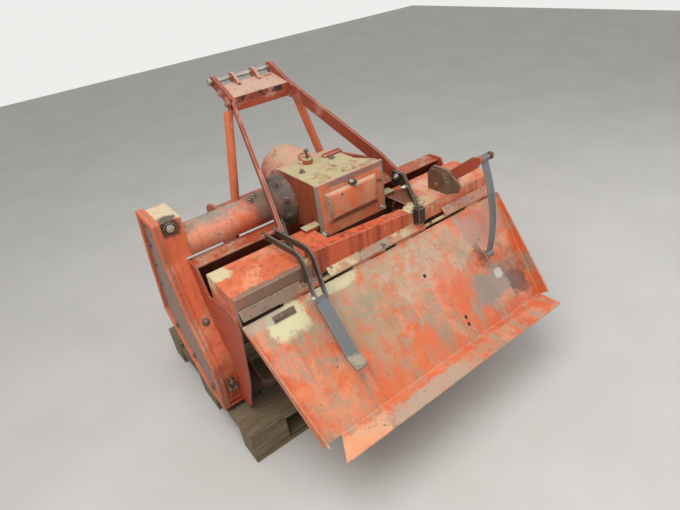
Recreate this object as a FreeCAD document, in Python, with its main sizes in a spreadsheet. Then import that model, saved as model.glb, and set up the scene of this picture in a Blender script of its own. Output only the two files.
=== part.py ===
# Mounted rotary tiller standing on the wooden pallet it is stored on, in millimetres.
# x runs across the machine, y forward (the way it travels) and z up. The origin lies on
# the floor under the middle of the machine.

import FreeCAD
import Part
import Sketcher
import math
import os
import re
from FreeCAD import Placement, Rotation, Vector

SIZES = [
    # wooden pallet
    ("pallet_left", -630),
    ("pallet_rear", -190),
    ("pallet_length", 1200),
    ("pallet_depth", 800),
    ("plank_wall", 22),
    ("block_height", 78),
    ("wide_plank", 145),
    ("narrow_plank", 100),
    # end plates, skids and chain case
    ("plate_half", 566),
    ("plate_wall", 6),
    ("skid_width", 76),
    ("skid_wall", 8),
    ("heel_y", -20),
    ("toe_y", 125),
    ("knee_y", 280),
    ("knee_z", 256),
    ("brow_y", 415),
    ("brow_z", 395),
    ("tail_y", -90),
    ("tail_z", 160),
    ("wing_bow_y", -160),
    ("wing_bow_z", 330),
    ("wing_bow_radius", 200),
    ("wing_y", -228),
    ("wing_z", 601),
    ("case_roof_z", 892),
    ("case_roof_front", 252),
    ("case_roof_rear", 88),
    ("case_neck_y", 98),
    ("case_neck_z", 740),
    ("case_waist_y", 40),
    ("case_waist_z", 520),
    ("case_hollow", 150),
    ("case_heel_y", -47),
    ("case_heel_z", 372),
    ("case_shoulder_y", 345),
    ("case_shoulder_z", 640),
    ("case_overhang", 21),
    ("case_step_z", 732),
    ("case_cover_width", 25),
    ("case_inset", 8),
    ("panel_inset", 24),
    ("panel_depth", 10),
    # hood
    ("sheet_wall", 5),
    ("hood_rear_y", -235),
    ("hood_top_z", 730),
    ("hood_edge_y", -40),
    ("hood_slot_y", -195),
    ("opening_margin", 20),
    ("ledge_y", 45),
    ("ledge_depth", 75),
    ("ledge_z", 715),
    ("crown_y", 230),
    ("crown_z", 640),
    ("front_y", 330),
    ("front_z", 500),
    ("front_foot_y", 345),
    ("front_foot_z", 372),
    ("beam_left", -286),
    ("beam_right", 118),
    ("beam_left_z", 768),
    ("beam_right_z", 737),
    ("beam_flange", 38),
    # trailing board and its hinge
    ("hinge_y", -247),
    ("hinge_z", 657),
    ("hinge_drop", 14),
    ("hinge_rod_radius", 6),
    ("knuckle_wall", 5),
    ("knuckle_length", 70),
    ("knuckle_gap", 0.4),
    ("running_gap", 0.05),
    ("board_angle", 50.8),
    ("board_length", 435),
    ("board_taper", 50),
    ("lip_depth", 88),
    ("lip_notch", 70),
    ("rim_top", 14),
    ("rim_foot", 48),
    # rotor
    ("rotor_y", 50),
    ("blade_reach", 220),
    ("blade_clearance", 8),
    ("rotor_tube_radius", 38),
    ("stub_radius", 25),
    ("rotor_end_gap", 8),
    ("flange_count", 6),
    ("flange_margin", 40),
    ("flange_radius", 95),
    ("flange_wall", 10),
    ("blades_a_side", 3),
    ("blade_wall", 8),
    ("blade_width", 60),
    ("blade_foot", 48),
    ("blade_turn", 88),
    ("blade_bend", 40),
    ("bearing_radius", 65),
    ("bearing_width", 40),
    # drive tube and gearbox
    ("drive_y", 155),
    ("drive_z", 769),
    ("tube_radius", 57),
    ("bell_radius", 98),
    ("bell_length", 60),
    ("gearbox_half", 140),
    ("gearbox_right", 100),
    ("gearbox_rear_y", -77),
    ("gearbox_neck_y", -50),
    ("gearbox_waist_y", 14),
    ("gearbox_floor_z", 693),
    ("gearbox_roof_z", 884),
    ("drum_radius", 112),
    ("nose_radius", 85),
    ("nose_y", 320),
    ("guard_y", 386),
    ("guard_skirt", 30),
    ("flange_plate", 12),
    ("cover_wall", 8),
    ("cover_overhang", 6),
    ("foot_reach", 62),
    ("foot_wall", 12),
    ("input_radius", 17.4),
    ("input_length", 95),
    ("journal_radius", 24),
    ("spline_depth", 2.7),
    ("spline_count", 6),
    # headstock
    ("mast_half", 130),
    ("lug_half", 47),
    ("mast_wall", 12),
    ("mast_depth", 50),
    ("pin_y", 590),
    ("pin_z", 1142),
    ("pin_radius", 9.5),
    ("pin_head_radius", 15),
    ("tip_radius", 20),
    ("mast_y", 450),
    ("mast_z", 1088),
    ("stay_drop", 12),
    ("stay_gap", 14),
    ("stay_bend_half", 245),
    ("stay_bend_y", 60),
    ("stay_bend_z", 828),
    ("stay_foot_z", 745),
    ("stay_foot_run", 104),
    ("bridge_wall", 8),
    ("bridge_drop", 45),
    ("strut_radius", 17.5),
    ("strut_top_half", 153.5),
    ("strut_top_y", 457),
    ("strut_top_z", 1050),
    ("strut_foot_half", 230),
    ("strut_foot_y", 420),
    ("tab_wall", 8),
    ("tab_depth", 26),
    ("tab_height", 70),
    # lower hitch
    ("link_half", 341),
    ("link_wall", 12),
    ("link_pin_y", 430),
    ("link_pin_z", 682),
    ("link_pin_radius", 11),
    ("link_shank_radius", 9),
    ("link_pin_length", 75),
    ("link_head", 40),
    ("link_rise", 42),
    ("link_rear_y", 80),
    ("beam_side", 50),
    # brackets between hood and stays
    ("bracket_wall", 10),
    ("bracket_left_x", -326),
    ("bracket_right_x", 156),
    ("bracket_lap", 34),
    ("bracket_bend_run", 20),
    ("bracket_block", 30),
    # quadrant, lever and strip on the right
    ("quadrant_x", 311),
    ("quadrant_wall", 8),
    ("lever_y", -187),
    ("lever_z", 757),
    ("lever_length", 226),
    ("lever_angle", 36.6),
    ("lever_depth", 40),
    ("lever_wall", 6),
    ("lever_pin_radius", 8),
    ("quadrant_height", 73),
    ("quadrant_reach", 112),
    ("hole_ring", 62),
    ("strip_x", 350),
    ("strip_width", 30),
    ("strip_wall", 5),
    ("strip_foot_y", -405),
    ("strip_foot_z", 530),
    ("strip_bow", 42),
    ("strip_bend", 600),
    ("strip_eye", 13),
    # spring arm on the left
    ("arm_x", -316),
    ("arm_y", -36),
    ("arm_z", 768),
    ("arm_wall", 6),
    ("arm_depth", 24),
    ("arm_eye", 15),
    ("arm_bend", 20),
    ("arm_crest_y", -258),
    ("arm_crest_z", 786),
    ("arm_foot_y", -306),
    ("arm_foot_z", 640),
    ("leaf_width", 44),
    ("leaf_wall", 8),
    ("leaf_top_y", -298),
    ("leaf_top_z", 648),
    ("leaf_foot_y", -440),
    ("leaf_foot_z", 492),
    ("leaf_tip_y", -485),
    ("leaf_tip_z", 480),
]

doc = FreeCAD.newDocument("Rotavator")
sheet = doc.addObject("Spreadsheet::Sheet", "Sizes")
for row, (alias, value) in enumerate(SIZES, start=1):
    sheet.set(f"A{row}", str(value))
    sheet.setAlias(f"A{row}", alias)
doc.recompute()
size = {alias: float(sheet.get(alias)) for alias, value in SIZES}
nodes = []
AXIS_TURNS = {
    "x": Rotation(Vector(0, 1, 0), 90),
    "y": Rotation(Vector(1, 0, 0), -90),
    "z": Rotation(),
}


# The formula with each size named as a cell of the sheet
def linked(formula):
    return re.sub(r"\b([a-z][a-z_]+)\b", r"Sizes.\1", str(formula))


def named(item, label):
    item.Label = label
    nodes.append(item)
    return item


def placed(item, corner):
    for axis, formula in zip("xyz", corner):
        item.setExpression(f".Placement.Base.{axis}", linked(formula))
    return item


# A block from three corner formulas and three span formulas
def box(name, corner, spans):
    item = doc.addObject("Part::Box", name)
    for prop, formula in zip(("Length", "Width", "Height"), spans):
        item.setExpression(prop, linked(formula))
    return placed(item, corner)


# A round bar along x, y or z from its start, radius and length formulas
def rod(name, axis, start, radius, length):
    item = doc.addObject("Part::Cylinder", name)
    item.setExpression("Radius", linked(radius))
    item.setExpression("Height", linked(length))
    item.Placement = Placement(Vector(), AXIS_TURNS[axis])
    return placed(item, start)


def joined(name, items):
    item = doc.addObject("Part::MultiFuse", name)
    item.Shapes = items
    item.Refine = True
    return item


# Solids of one node that don't touch
def grouped(name, items):
    item = doc.addObject("Part::Compound", name)
    item.Links = items
    return item


def cut(name, base, tool):
    item = doc.addObject("Part::Cut", name)
    item.Base = base
    item.Tool = tool
    item.Refine = True
    return item


def common(name, base, tool):
    item = doc.addObject("Part::Common", name)
    item.Base = base
    item.Tool = tool
    item.Refine = True
    return item


def shaped(name, shape):
    item = doc.addObject("Part::Feature", name)
    item.Shape = shape
    return item


# Edges of a closed outline, in order, from corners (u, v, radius)
def rounded(corners):
    points = [Vector(u, v, 0) for u, v, radius in corners]
    count = len(corners)
    starts = []
    ends = []
    middles = []
    for i, (u, v, radius) in enumerate(corners):
        here = points[i]
        back = (points[i - 1] - here).normalize()
        ahead = (points[(i + 1) % count] - here).normalize()
        half = back.getAngle(ahead) / 2
        starts.append(here + back * (radius / math.tan(half)))
        ends.append(here + ahead * (radius / math.tan(half)))
        middles.append(here + (back + ahead).normalize() * (radius / math.sin(half) - radius))
    edges = []
    for i, (u, v, radius) in enumerate(corners):
        if radius > 0:
            edges.append(Part.Arc(starts[i], middles[i], ends[i]))
        after = starts[(i + 1) % count]
        if (after - ends[i]).Length > 1e-4:
            edges.append(Part.LineSegment(ends[i], after))
    return edges


def hole(u, v, radius):
    return [Part.Circle(Vector(u, v, 0), Vector(0, 0, 1), radius)]


def flat_face(edges):
    return Part.Face(Part.Wire([edge.toShape() for edge in edges]))


# Ties the ends of neighbouring lines and arcs of a sketch
def tie_ends(sketch):
    tips = []
    for index, piece in enumerate(sketch.Geometry):
        if isinstance(piece, Part.Circle):
            continue
        tips.extend((index, end, sketch.getPoint(index, end)) for end in (1, 2))
    for number, (index, end, spot) in enumerate(tips):
        for other, other_end, other_spot in tips[number + 1:]:
            if other != index and (spot - other_spot).Length < 1e-4:
                sketch.addConstraint(Sketcher.Constraint("Coincident", index, end, other, other_end))


# A body padded from a sketch on one of its origin planes; start and depth are formulas
def padded(name, plane, outlines, start, depth):
    body = doc.addObject("PartDesign::Body", name)
    base = next(f for f in body.Origin.OriginFeatures if f.Role == plane)
    sketch = body.newObject("Sketcher::SketchObject", name + "_outline")
    sketch.AttachmentSupport = [(base, "")]
    sketch.MapMode = "FlatFace"
    sketch.setExpression(".AttachmentOffset.Base.z", linked(start))
    for outline in outlines:
        sketch.addGeometry(outline, False)
    tie_ends(sketch)
    pad = body.newObject("PartDesign::Pad", name + "_pad")
    pad.Profile = sketch
    pad.setExpression("Length", linked(depth))
    body.Tip = pad
    return body


# Corners of a flat bar whose centre line follows the path: mitred, or bent with a radius
def bar(path, width, bend=None, tip=0):
    spots = [Vector(u, v, 0) for u, v in path]
    last = len(spots) - 1
    sides = ([], [])
    for i, here in enumerate(spots):
        back = (spots[max(i, 1)] - spots[max(i - 1, 0)]).normalize()
        ahead = (spots[min(i + 1, last)] - spots[min(i, last - 1)]).normalize()
        mean = (back + ahead).normalize()
        reach = width / 2 / math.cos(back.getAngle(mean))
        radii = (tip, tip)
        if 0 < i < last:
            inner, outer = (0, 0) if bend is None else (bend, bend + width)
            radii = (inner, outer) if back.cross(ahead).z > 0 else (outer, inner)
        for side, radius, sign in zip(sides, radii, (1, -1)):
            side.append((here.x - sign * mean.y * reach, here.y + sign * mean.x * reach, radius))
    return sides[0] + sides[1][::-1]


# The corners of an anticlockwise outline moved inwards by a gap
def inset(corners, gap):
    moved = []
    count = len(corners)
    for i, (u, v, radius) in enumerate(corners):
        here = Vector(u, v, 0)
        back = (here - Vector(*corners[i - 1][:2], 0)).normalize()
        ahead = (Vector(*corners[(i + 1) % count][:2], 0) - here).normalize()
        inward = Vector(-back.y - ahead.y, back.x + ahead.x, 0)
        spot = here + inward * (gap / (1 + back.dot(ahead)))
        hollow = back.cross(ahead).z < 0
        moved.append((spot.x, spot.y, max(radius + (gap if hollow else -gap), 0) * (radius > 0)))
    return moved


# A solid swept straight from a flat polygon of points
def prism(points, thrust):
    vectors = [Vector(*point) for point in points]
    return Part.Face(Part.makePolygon(vectors + [vectors[0]])).extrude(Vector(*thrust))


# A point at the given turn and reach from a centre
def polar(centre, degrees, reach):
    angle = math.radians(degrees)
    return (centre[0] + reach * math.cos(angle), centre[1] + reach * math.sin(angle))


SIDES = (("left", -1), ("right", 1))
PALLET_TOP = "(3 * plank_wall + block_height)"
ROTOR_Z = f"({PALLET_TOP} + blade_clearance + blade_reach)"
INNER_LEFT = "-plate_half + plate_wall"
INNER_WIDTH = "2 * (plate_half - plate_wall)"
pallet_top = 3 * size["plank_wall"] + size["block_height"]
skid_top = pallet_top + size["skid_wall"]
rotor_y = size["rotor_y"]
rotor_z = pallet_top + size["blade_clearance"] + size["blade_reach"]
wall = size["sheet_wall"]

# Pallet: five deck boards across, three boards under them, nine blocks, three skates
ROWS = (("narrow_plank", 0.0), ("wide_plank", 0.5), ("narrow_plank", 1.0))
COLUMNS = (0.0, 0.5, 1.0)
DECK_GAP = "(pallet_depth - 3 * wide_plank - 2 * narrow_plank) / 4"
deck = []
board_start = "pallet_rear"
for number, width in enumerate(("wide_plank", "narrow_plank", "wide_plank", "narrow_plank", "wide_plank")):
    corner = ("pallet_left", board_start, "2 * plank_wall + block_height")
    deck.append(box(f"deck_board_{number}", corner, ("pallet_length", width, "plank_wall")))
    board_start = f"{board_start} + {width} + {DECK_GAP}"
named(grouped("deck_boards", deck), "pallet_deck_boards")
cross = []
for number, share in enumerate(COLUMNS):
    corner = (
        f"pallet_left + {share} * (pallet_length - wide_plank)",
        "pallet_rear",
        "plank_wall + block_height",
    )
    cross.append(box(f"cross_board_{number}", corner, ("wide_plank", "pallet_depth", "plank_wall")))
named(grouped("cross_boards", cross), "pallet_cross_boards")
blocks = []
bottoms = []
for row, (width, depth_share) in enumerate(ROWS):
    rear = f"pallet_rear + {depth_share} * (pallet_depth - {width})"
    corner = ("pallet_left", rear, "0")
    bottoms.append(box(f"bottom_board_{row}", corner, ("pallet_length", width, "plank_wall")))
    for number, share in enumerate(COLUMNS):
        corner = (f"pallet_left + {share} * (pallet_length - wide_plank)", rear, "plank_wall")
        blocks.append(box(f"block_{row}_{number}", corner, ("wide_plank", width, "block_height")))
named(grouped("blocks", blocks), "pallet_blocks")
named(grouped("bottom_boards", bottoms), "pallet_bottom_boards")

# Foot line that the end plates and the case share with the skids, from heel to brow
foot_line = [
    (size["heel_y"], skid_top),
    (size["toe_y"], skid_top),
    (size["knee_y"], size["knee_z"]),
    (size["brow_y"], size["brow_z"]),
]

# Skids: flat runners under the end plates, turned up in front
skid_centre = inset([(y, z, 0) for y, z in foot_line] + [(size["heel_y"], 2000, 0)], -size["skid_wall"] / 2)
skid_path = [(size["heel_y"], skid_top - size["skid_wall"] / 2)] + [(y, z) for y, z, r in skid_centre[1:3]]
rise = math.atan2(size["brow_z"] - size["knee_z"], size["brow_y"] - size["knee_y"])
skid_path.append(
    (
        size["brow_y"] + size["skid_wall"] / 2 * math.sin(rise),
        size["brow_z"] - size["skid_wall"] / 2 * math.cos(rise),
    )
)
for side, start in (("left", "-plate_half - skid_width"), ("right", "plate_half - plate_wall")):
    outline = rounded(bar(skid_path, size["skid_wall"]))
    skid = padded(f"skid_bar_{side}", "YZ_Plane", [outline], start, "skid_width + plate_wall")
    named(skid, f"skid_{side}")

# Chain case: a flat case with a square head about the drive tube and a wide foot
case_corners = [
    (size["case_roof_front"], size["case_roof_z"], 25),
    (size["case_roof_rear"], size["case_roof_z"], 12),
    (size["case_neck_y"], size["case_neck_z"], size["case_hollow"]),
    (size["case_waist_y"], size["case_waist_z"], size["case_hollow"]),
    (size["case_heel_y"], size["case_heel_z"], 60),
    (size["heel_y"], skid_top, 0),
    (size["toe_y"], skid_top, 0),
    (size["knee_y"], size["knee_z"], 0),
    (size["brow_y"], size["brow_z"], 0),
    (size["case_shoulder_y"], size["case_shoulder_z"], 120),
]
case = padded(
    "case_block",
    "YZ_Plane",
    [rounded(inset(case_corners, size["case_inset"]))],
    "-plate_half - skid_width + case_cover_width",
    "skid_width - case_cover_width",
)
head_block = padded(
    "head_block",
    "YZ_Plane",
    [rounded(inset(case_corners, size["case_inset"]))],
    "-plate_half - plate_wall",
    "plate_wall + case_overhang",
)
head_space = box(
    "head_space",
    ("-plate_half - plate_wall", "case_heel_y", "case_step_z"),
    ("plate_wall + case_overhang", "brow_y - case_heel_y", "case_roof_z - case_step_z"),
)
case_body = joined("case_body", [case, common("case_head", head_block, head_space)])
case_bore = rod(
    "case_bore",
    "x",
    ("-plate_half - bearing_width", "rotor_y", ROTOR_Z),
    "stub_radius + running_gap",
    "2 * bearing_width",
)
named(cut("case_bored", case_body, case_bore), "chain_case")
cover = padded(
    "cover_plate", "YZ_Plane", [rounded(case_corners)], "-plate_half - skid_width", "case_cover_width"
)
recess = padded(
    "cover_recess",
    "YZ_Plane",
    [rounded(inset(case_corners, size["panel_inset"]))],
    "-plate_half - skid_width",
    "panel_depth",
)
named(cut("cover_cut", cover, recess), "chain_case_cover")

# End plates of the hood, each with a wing behind that stays below the top sheet
plate_corners = [
    (size["tail_y"], size["tail_z"], 14),
    (size["wing_bow_y"], size["wing_bow_z"], size["wing_bow_radius"]),
    (size["wing_y"], size["wing_z"], 14),
    (size["wing_y"] + 13, size["wing_z"] + 47, 12),
    (size["wing_y"] + 63, size["wing_z"] + 62, 30),
    (size["hood_edge_y"] - 33, size["wing_z"] + 43, 0),
    (size["hood_edge_y"] + 30, size["wing_z"] + 28, 0),
    (size["ledge_y"] - 15, size["hood_top_z"] - wall, 6),
    (size["ledge_y"] + 55, size["hood_top_z"] - wall, 20),
    (size["crown_y"] + 6, size["crown_z"] + 8, 60),
    (size["front_y"] + 12, size["front_z"], 60),
    (size["brow_y"], size["brow_z"] + 10, 0),
] + [(y, z, 0) for y, z in foot_line[::-1]]
for side, start in (("left", "-plate_half"), ("right", "plate_half - plate_wall")):
    outlines = [rounded(plate_corners), hole(rotor_y, rotor_z, size["stub_radius"] + 8)]
    named(padded(f"end_plate_{side}", "YZ_Plane", outlines, start, "plate_wall"), f"side_plate_{side}")

# Hood: bent sheets between the end plates, open under the gearbox
OPENING_LEFT = "-gearbox_half - cover_overhang - opening_margin"
OPENING_WIDTH = "2 * (gearbox_half + cover_overhang + opening_margin)"
BELL_START = "-gearbox_half - flange_plate - bell_length"
rear_path = [
    (size["hood_rear_y"] + wall / 2, size["hinge_z"] + size["hinge_drop"]),
    (size["hood_rear_y"] + wall / 2, size["hood_top_z"] - wall / 2),
    (size["hood_edge_y"], size["hood_top_z"] - wall / 2),
]
rear_sheet = padded("rear_sheet", "YZ_Plane", [rounded(bar(rear_path, wall))], INNER_LEFT, INNER_WIDTH)
rear_slot = box(
    "rear_slot",
    (OPENING_LEFT, "hood_slot_y", "hood_top_z - 2 * sheet_wall"),
    (OPENING_WIDTH, "hood_edge_y - hood_slot_y + sheet_wall", "3 * sheet_wall"),
)
hood_sheets = [cut("rear_sheet_open", rear_sheet, rear_slot)]
for side, start in (("left", INNER_LEFT), ("right", "plate_half - plate_wall - sheet_wall")):
    cap_corner = (start, "hood_rear_y", "wing_z + opening_margin + 10")
    cap_span = ("sheet_wall", "hood_edge_y - hood_rear_y", "hood_top_z - wing_z - opening_margin - 10")
    hood_sheets.append(box(f"hood_end_{side}", cap_corner, cap_span))
front_path = [
    (size["ledge_y"], size["ledge_z"] - wall / 2),
    (size["ledge_y"] + size["ledge_depth"], size["ledge_z"] - wall / 2),
    (size["crown_y"], size["crown_z"]),
    (size["front_y"], size["front_z"]),
    (size["front_foot_y"], size["front_foot_z"]),
]
front_sheet = padded("front_sheet", "YZ_Plane", [rounded(bar(front_path, wall))], INNER_LEFT, INNER_WIDTH)
front_slot = box(
    "front_slot",
    (f"{BELL_START} - opening_margin / 3", "ledge_y - 1", "crown_z - opening_margin"),
    (
        f"gearbox_right + flange_plate + 2 * opening_margin / 3 - ({BELL_START})",
        "crown_y - ledge_y - sheet_wall",
        "drive_z - crown_z",
    ),
)
named(cut("front_sheet_open", front_sheet, front_slot), "hood_front")

# Raised channel behind the gearbox: a face that tapers to the right, and its top
beam_foot = size["hinge_z"] + size["hinge_drop"] + wall + 1
beam_face = [
    (size["beam_left"], size["hood_rear_y"] - wall, beam_foot),
    (size["beam_right"], size["hood_rear_y"] - wall, beam_foot),
    (size["beam_right"], size["hood_rear_y"] - wall, size["beam_right_z"]),
    (size["beam_left"], size["hood_rear_y"] - wall, size["beam_left_z"]),
]
beam_top = [
    (size["beam_left"], size["hood_rear_y"], size["hood_top_z"]),
    (size["beam_right"], size["hood_rear_y"], size["hood_top_z"]),
    (size["beam_right"], size["hood_rear_y"], size["beam_right_z"]),
    (size["beam_left"], size["hood_rear_y"], size["beam_left_z"]),
]
channel = prism(beam_face, (0, wall, 0)).fuse(prism(beam_top, (0, size["beam_flange"], 0)))
named(shaped("beam_channel", channel.removeSplitter()), "hood_beam")

# Drive tube with a bell at the gearbox
bell = doc.addObject("Part::Cone", "tube_bell")
bell.setExpression("Radius1", linked("tube_radius"))
bell.setExpression("Radius2", linked("bell_radius"))
bell.setExpression("Height", linked("bell_length"))
bell.Placement = Placement(Vector(), AXIS_TURNS["x"])
placed(bell, (BELL_START, "drive_y", "drive_z"))
tube = rod(
    "tube_bar",
    "x",
    ("-plate_half + case_overhang", "drive_y", "drive_z"),
    "tube_radius",
    f"plate_half - case_overhang + {BELL_START}",
)
collar = rod(
    "tube_collar", "x", ("-gearbox_half - flange_plate", "drive_y", "drive_z"), "bell_radius", "flange_plate"
)
named(joined("tube_welded", [tube, bell, collar]), "drive_tube")

# Gearbox: a box behind, a drum about the cross shaft, a nose about the input and two feet
box_plan = [
    (-size["gearbox_half"], size["gearbox_rear_y"], 0),
    (size["gearbox_half"], size["gearbox_rear_y"], 0),
    (size["gearbox_half"], size["gearbox_neck_y"], 0),
    (size["gearbox_right"], size["gearbox_waist_y"], 0),
    (size["gearbox_right"], size["drive_y"], 0),
    (-size["gearbox_half"], size["drive_y"], 0),
]
rear_box = padded(
    "gearbox_box", "XY_Plane", [rounded(box_plan)], "gearbox_floor_z", "gearbox_roof_z - gearbox_floor_z"
)
drum = rod(
    "gearbox_drum", "x", ("-gearbox_half", "drive_y", "drive_z"), "drum_radius", "gearbox_half + gearbox_right"
)
nose = rod("gearbox_nose", "y", ("0", "drive_y", "drive_z"), "nose_radius", "nose_y - drive_y")
feet = []
for side, start in (("left", "-gearbox_half - foot_reach"), ("right", "gearbox_half")):
    feet.append(
        box(
            f"gearbox_foot_{side}",
            (start, "gearbox_rear_y", "hood_top_z"),
            ("foot_reach", "hood_edge_y - gearbox_rear_y", "foot_wall"),
        )
    )

# Half-round guard over the input shaft, open in front and below, with a notch for the side cap
guard_outer = rod("guard_outer", "y", ("0", "drive_y", "drive_z"), "drum_radius", "guard_y - drive_y")
guard_inner = rod(
    "guard_inner", "y", ("0", "drive_y - 1", "drive_z"), "drum_radius - sheet_wall", "guard_y - drive_y + 2"
)
guard_below = box(
    "guard_below",
    ("-gearbox_half", "drive_y - 1", "drive_z - 2 * drum_radius"),
    ("2 * gearbox_half", "guard_y - drive_y + 2", "2 * drum_radius - guard_skirt"),
)
guard_notch = box(
    "guard_notch",
    ("gearbox_right - 1", "drive_y - 1", "drive_z - drum_radius"),
    ("gearbox_half", "bell_radius + 2", "2 * drum_radius"),
)
guard = cut("guard_cut", guard_outer, joined("guard_spare", [guard_inner, guard_below, guard_notch]))
casting = joined("gearbox_casting", [rear_box, drum, nose, guard] + feet)
INPUT_START = "nose_y - 40"
input_bore = rod(
    "input_bore", "y", ("0", INPUT_START, "drive_z"), "journal_radius + running_gap", "60"
)
named(cut("gearbox_bored", casting, input_bore), "gearbox")
named(
    box(
        "cover_block",
        (
            "-gearbox_half - cover_overhang",
            "gearbox_rear_y - cover_wall",
            "gearbox_floor_z - cover_overhang / 2",
        ),
        (
            "2 * (gearbox_half + cover_overhang)",
            "cover_wall",
            "gearbox_roof_z - gearbox_floor_z + cover_overhang",
        ),
    ),
    "gearbox_cover",
)
cap = rod("side_cap", "x", ("gearbox_right", "drive_y", "drive_z"), "bell_radius", "flange_plate")
named(cap, "gearbox_side_cap")

# Input shaft with straight splines
spline_points = []
for number in range(int(size["spline_count"])):
    root = size["input_radius"] - size["spline_depth"]
    for turn, radius in ((0.0, size["input_radius"]), (0.5, size["input_radius"]), (0.5, root), (1.0, root)):
        x, z = polar((0, size["drive_z"]), 360 * (number + turn) / size["spline_count"], radius)
        spline_points.append((x, size["nose_y"] + 5, z))
splines = shaped("input_splines", prism(spline_points, (0, size["input_length"], 0)))
journal = rod("input_journal", "y", ("0", f"{INPUT_START} + 1", "drive_z"), "journal_radius", "44")
named(joined("input_turned", [journal, splines]), "input_shaft")

# Headstock stays: each a tip plate over the pin and a flat bar set askew down to its foot
flare = size["stay_bend_half"] - size["mast_half"]
plan = math.degrees(math.atan2(flare, size["mast_y"] - size["stay_bend_y"]))
bend_run = math.hypot(flare, size["mast_y"] - size["stay_bend_y"])
foot_run = bend_run + size["stay_foot_run"]
pin_bore = size["pin_radius"] + size["running_gap"]
tip = size["tip_radius"]
pin_y = size["pin_y"]
pin_z = size["pin_z"]
stay_head_z = size["mast_z"] - size["stay_drop"]
stay_rise = (stay_head_z - size["stay_bend_z"]) / bend_run
stay_path = [
    (-size["stay_gap"], stay_head_z - size["stay_gap"] * stay_rise),
    (-bend_run, size["stay_bend_z"]),
    (-foot_run, size["stay_foot_z"]),
]
stay_outline = bar(stay_path, size["mast_depth"])
tip_corners = [
    (size["mast_y"] + stay_outline[-1][0] - 4, stay_outline[-1][1], 0),
    (size["mast_y"] + stay_outline[0][0] - 4, stay_outline[0][1], 0),
    (pin_y, pin_z - tip - 6, 20),
    (pin_y + tip, pin_z - tip + 4, 16),
    (pin_y + tip, pin_z + tip, 19),
    (pin_y - tip, pin_z + tip + 2, 10),
]
for side, sign in SIDES:
    outlines = [rounded(tip_corners), hole(pin_y, pin_z, pin_bore)]
    start = f"{sign} * mast_half - mast_wall / 2"
    tip_plate = padded(f"stay_tip_{side}", "YZ_Plane", outlines, start, "mast_wall")
    outline = rounded(stay_outline)
    flat = padded(f"stay_bar_{side}", "YZ_Plane", [outline], "-mast_wall / 2", "mast_wall")
    flat.Placement = Placement(
        Vector(sign * size["mast_half"], size["mast_y"], 0), Rotation(Vector(0, 0, 1), sign * plan)
    )
    stay_parts = [tip_plate, flat]
    if side == "left":
        spring_start = ("arm_x - leaf_width / 2 - 4", "arm_y", "arm_z")
        stay_x = size["mast_half"] + foot_run * math.sin(math.radians(plan))
        spring_length = f"{-stay_x} - arm_x + leaf_width / 2 + 4"
        stay_parts.append(rod("spring_pivot", "x", spring_start, "lever_pin_radius", spring_length))
    named(joined(f"stay_welded_{side}", stay_parts), f"stay_{side}")

# Bridge between the stays with its turned-down apron and two lugs for the top link
bridge_path = [
    (pin_y - 16, pin_z - 22),
    (size["mast_y"] + 2, size["mast_z"] + 6),
    (size["mast_y"] + 6, size["mast_z"] - size["bridge_drop"]),
]
bridge = padded(
    "bridge_plate",
    "YZ_Plane",
    [rounded(bar(bridge_path, size["bridge_wall"]))],
    "-mast_half + mast_wall / 2",
    "2 * mast_half - mast_wall",
)
lug_corners = [
    (pin_y - 52, pin_z - 50, 0),
    (pin_y, pin_z - tip, 8),
    (pin_y + tip, pin_z - tip + 4, 16),
    (pin_y + tip, pin_z + tip, 19),
    (pin_y - tip, pin_z + tip - 4, 10),
    (pin_y - 60, pin_z - 16, 0),
]
bridge_parts = [bridge]
for side, sign in SIDES:
    outlines = [rounded(lug_corners), hole(pin_y, pin_z, pin_bore)]
    start = f"{sign} * lug_half - mast_wall / 2"
    bridge_parts.append(padded(f"lug_{side}", "YZ_Plane", outlines, start, "mast_wall"))
named(joined("bridge_welded", bridge_parts), "headstock_bridge")
PIN_LEFT = "-mast_half - mast_wall / 2"
pin_bar = rod(
    "pin_bar", "x", (f"{PIN_LEFT} - 10", "pin_y", "pin_z"), "pin_radius", "2 * mast_half + mast_wall + 20"
)
pin_head = rod("pin_head", "x", (f"{PIN_LEFT} - 16", "pin_y", "pin_z"), "pin_head_radius", "12")
named(joined("pin_turned", [pin_bar, pin_head]), "top_link_pin")

# Hitch beam, and the round struts that stand on it
named(
    box(
        "hitch_bar",
        ("-link_half + link_wall", "strut_foot_y - beam_side / 2", "link_pin_z - beam_side / 2"),
        ("2 * (link_half - link_wall)", "beam_side", "beam_side"),
    ),
    "hitch_beam",
)
seat_z = size["link_pin_z"] + size["beam_side"] / 2
for side, sign in SIDES:
    top = Vector(sign * size["strut_top_half"], size["strut_top_y"], size["strut_top_z"])
    foot = Vector(sign * size["strut_foot_half"], size["strut_foot_y"], seat_z)
    run = foot - top
    long_bar = Part.makeCylinder(size["strut_radius"], run.Length + size["strut_radius"], top, run)
    corner = foot - Vector(2, 2, 2) * size["strut_radius"]
    below = Part.makeBox(*(3 * [4 * size["strut_radius"]]), corner)
    below.translate(Vector(0, 0, -2 * size["strut_radius"]))
    tab_corner = Vector(
        sign * (size["mast_half"] + size["mast_wall"] / 2) - size["tab_wall"] * (sign < 0),
        size["strut_top_y"] - 5,
        size["strut_top_z"] - 20,
    )
    tab = Part.makeBox(size["tab_wall"], size["tab_depth"], size["tab_height"], tab_corner)
    strut = long_bar.cut(below).fuse(tab).removeSplitter()
    named(shaped(f"strut_bar_{side}", strut), f"strut_{side}")

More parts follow.
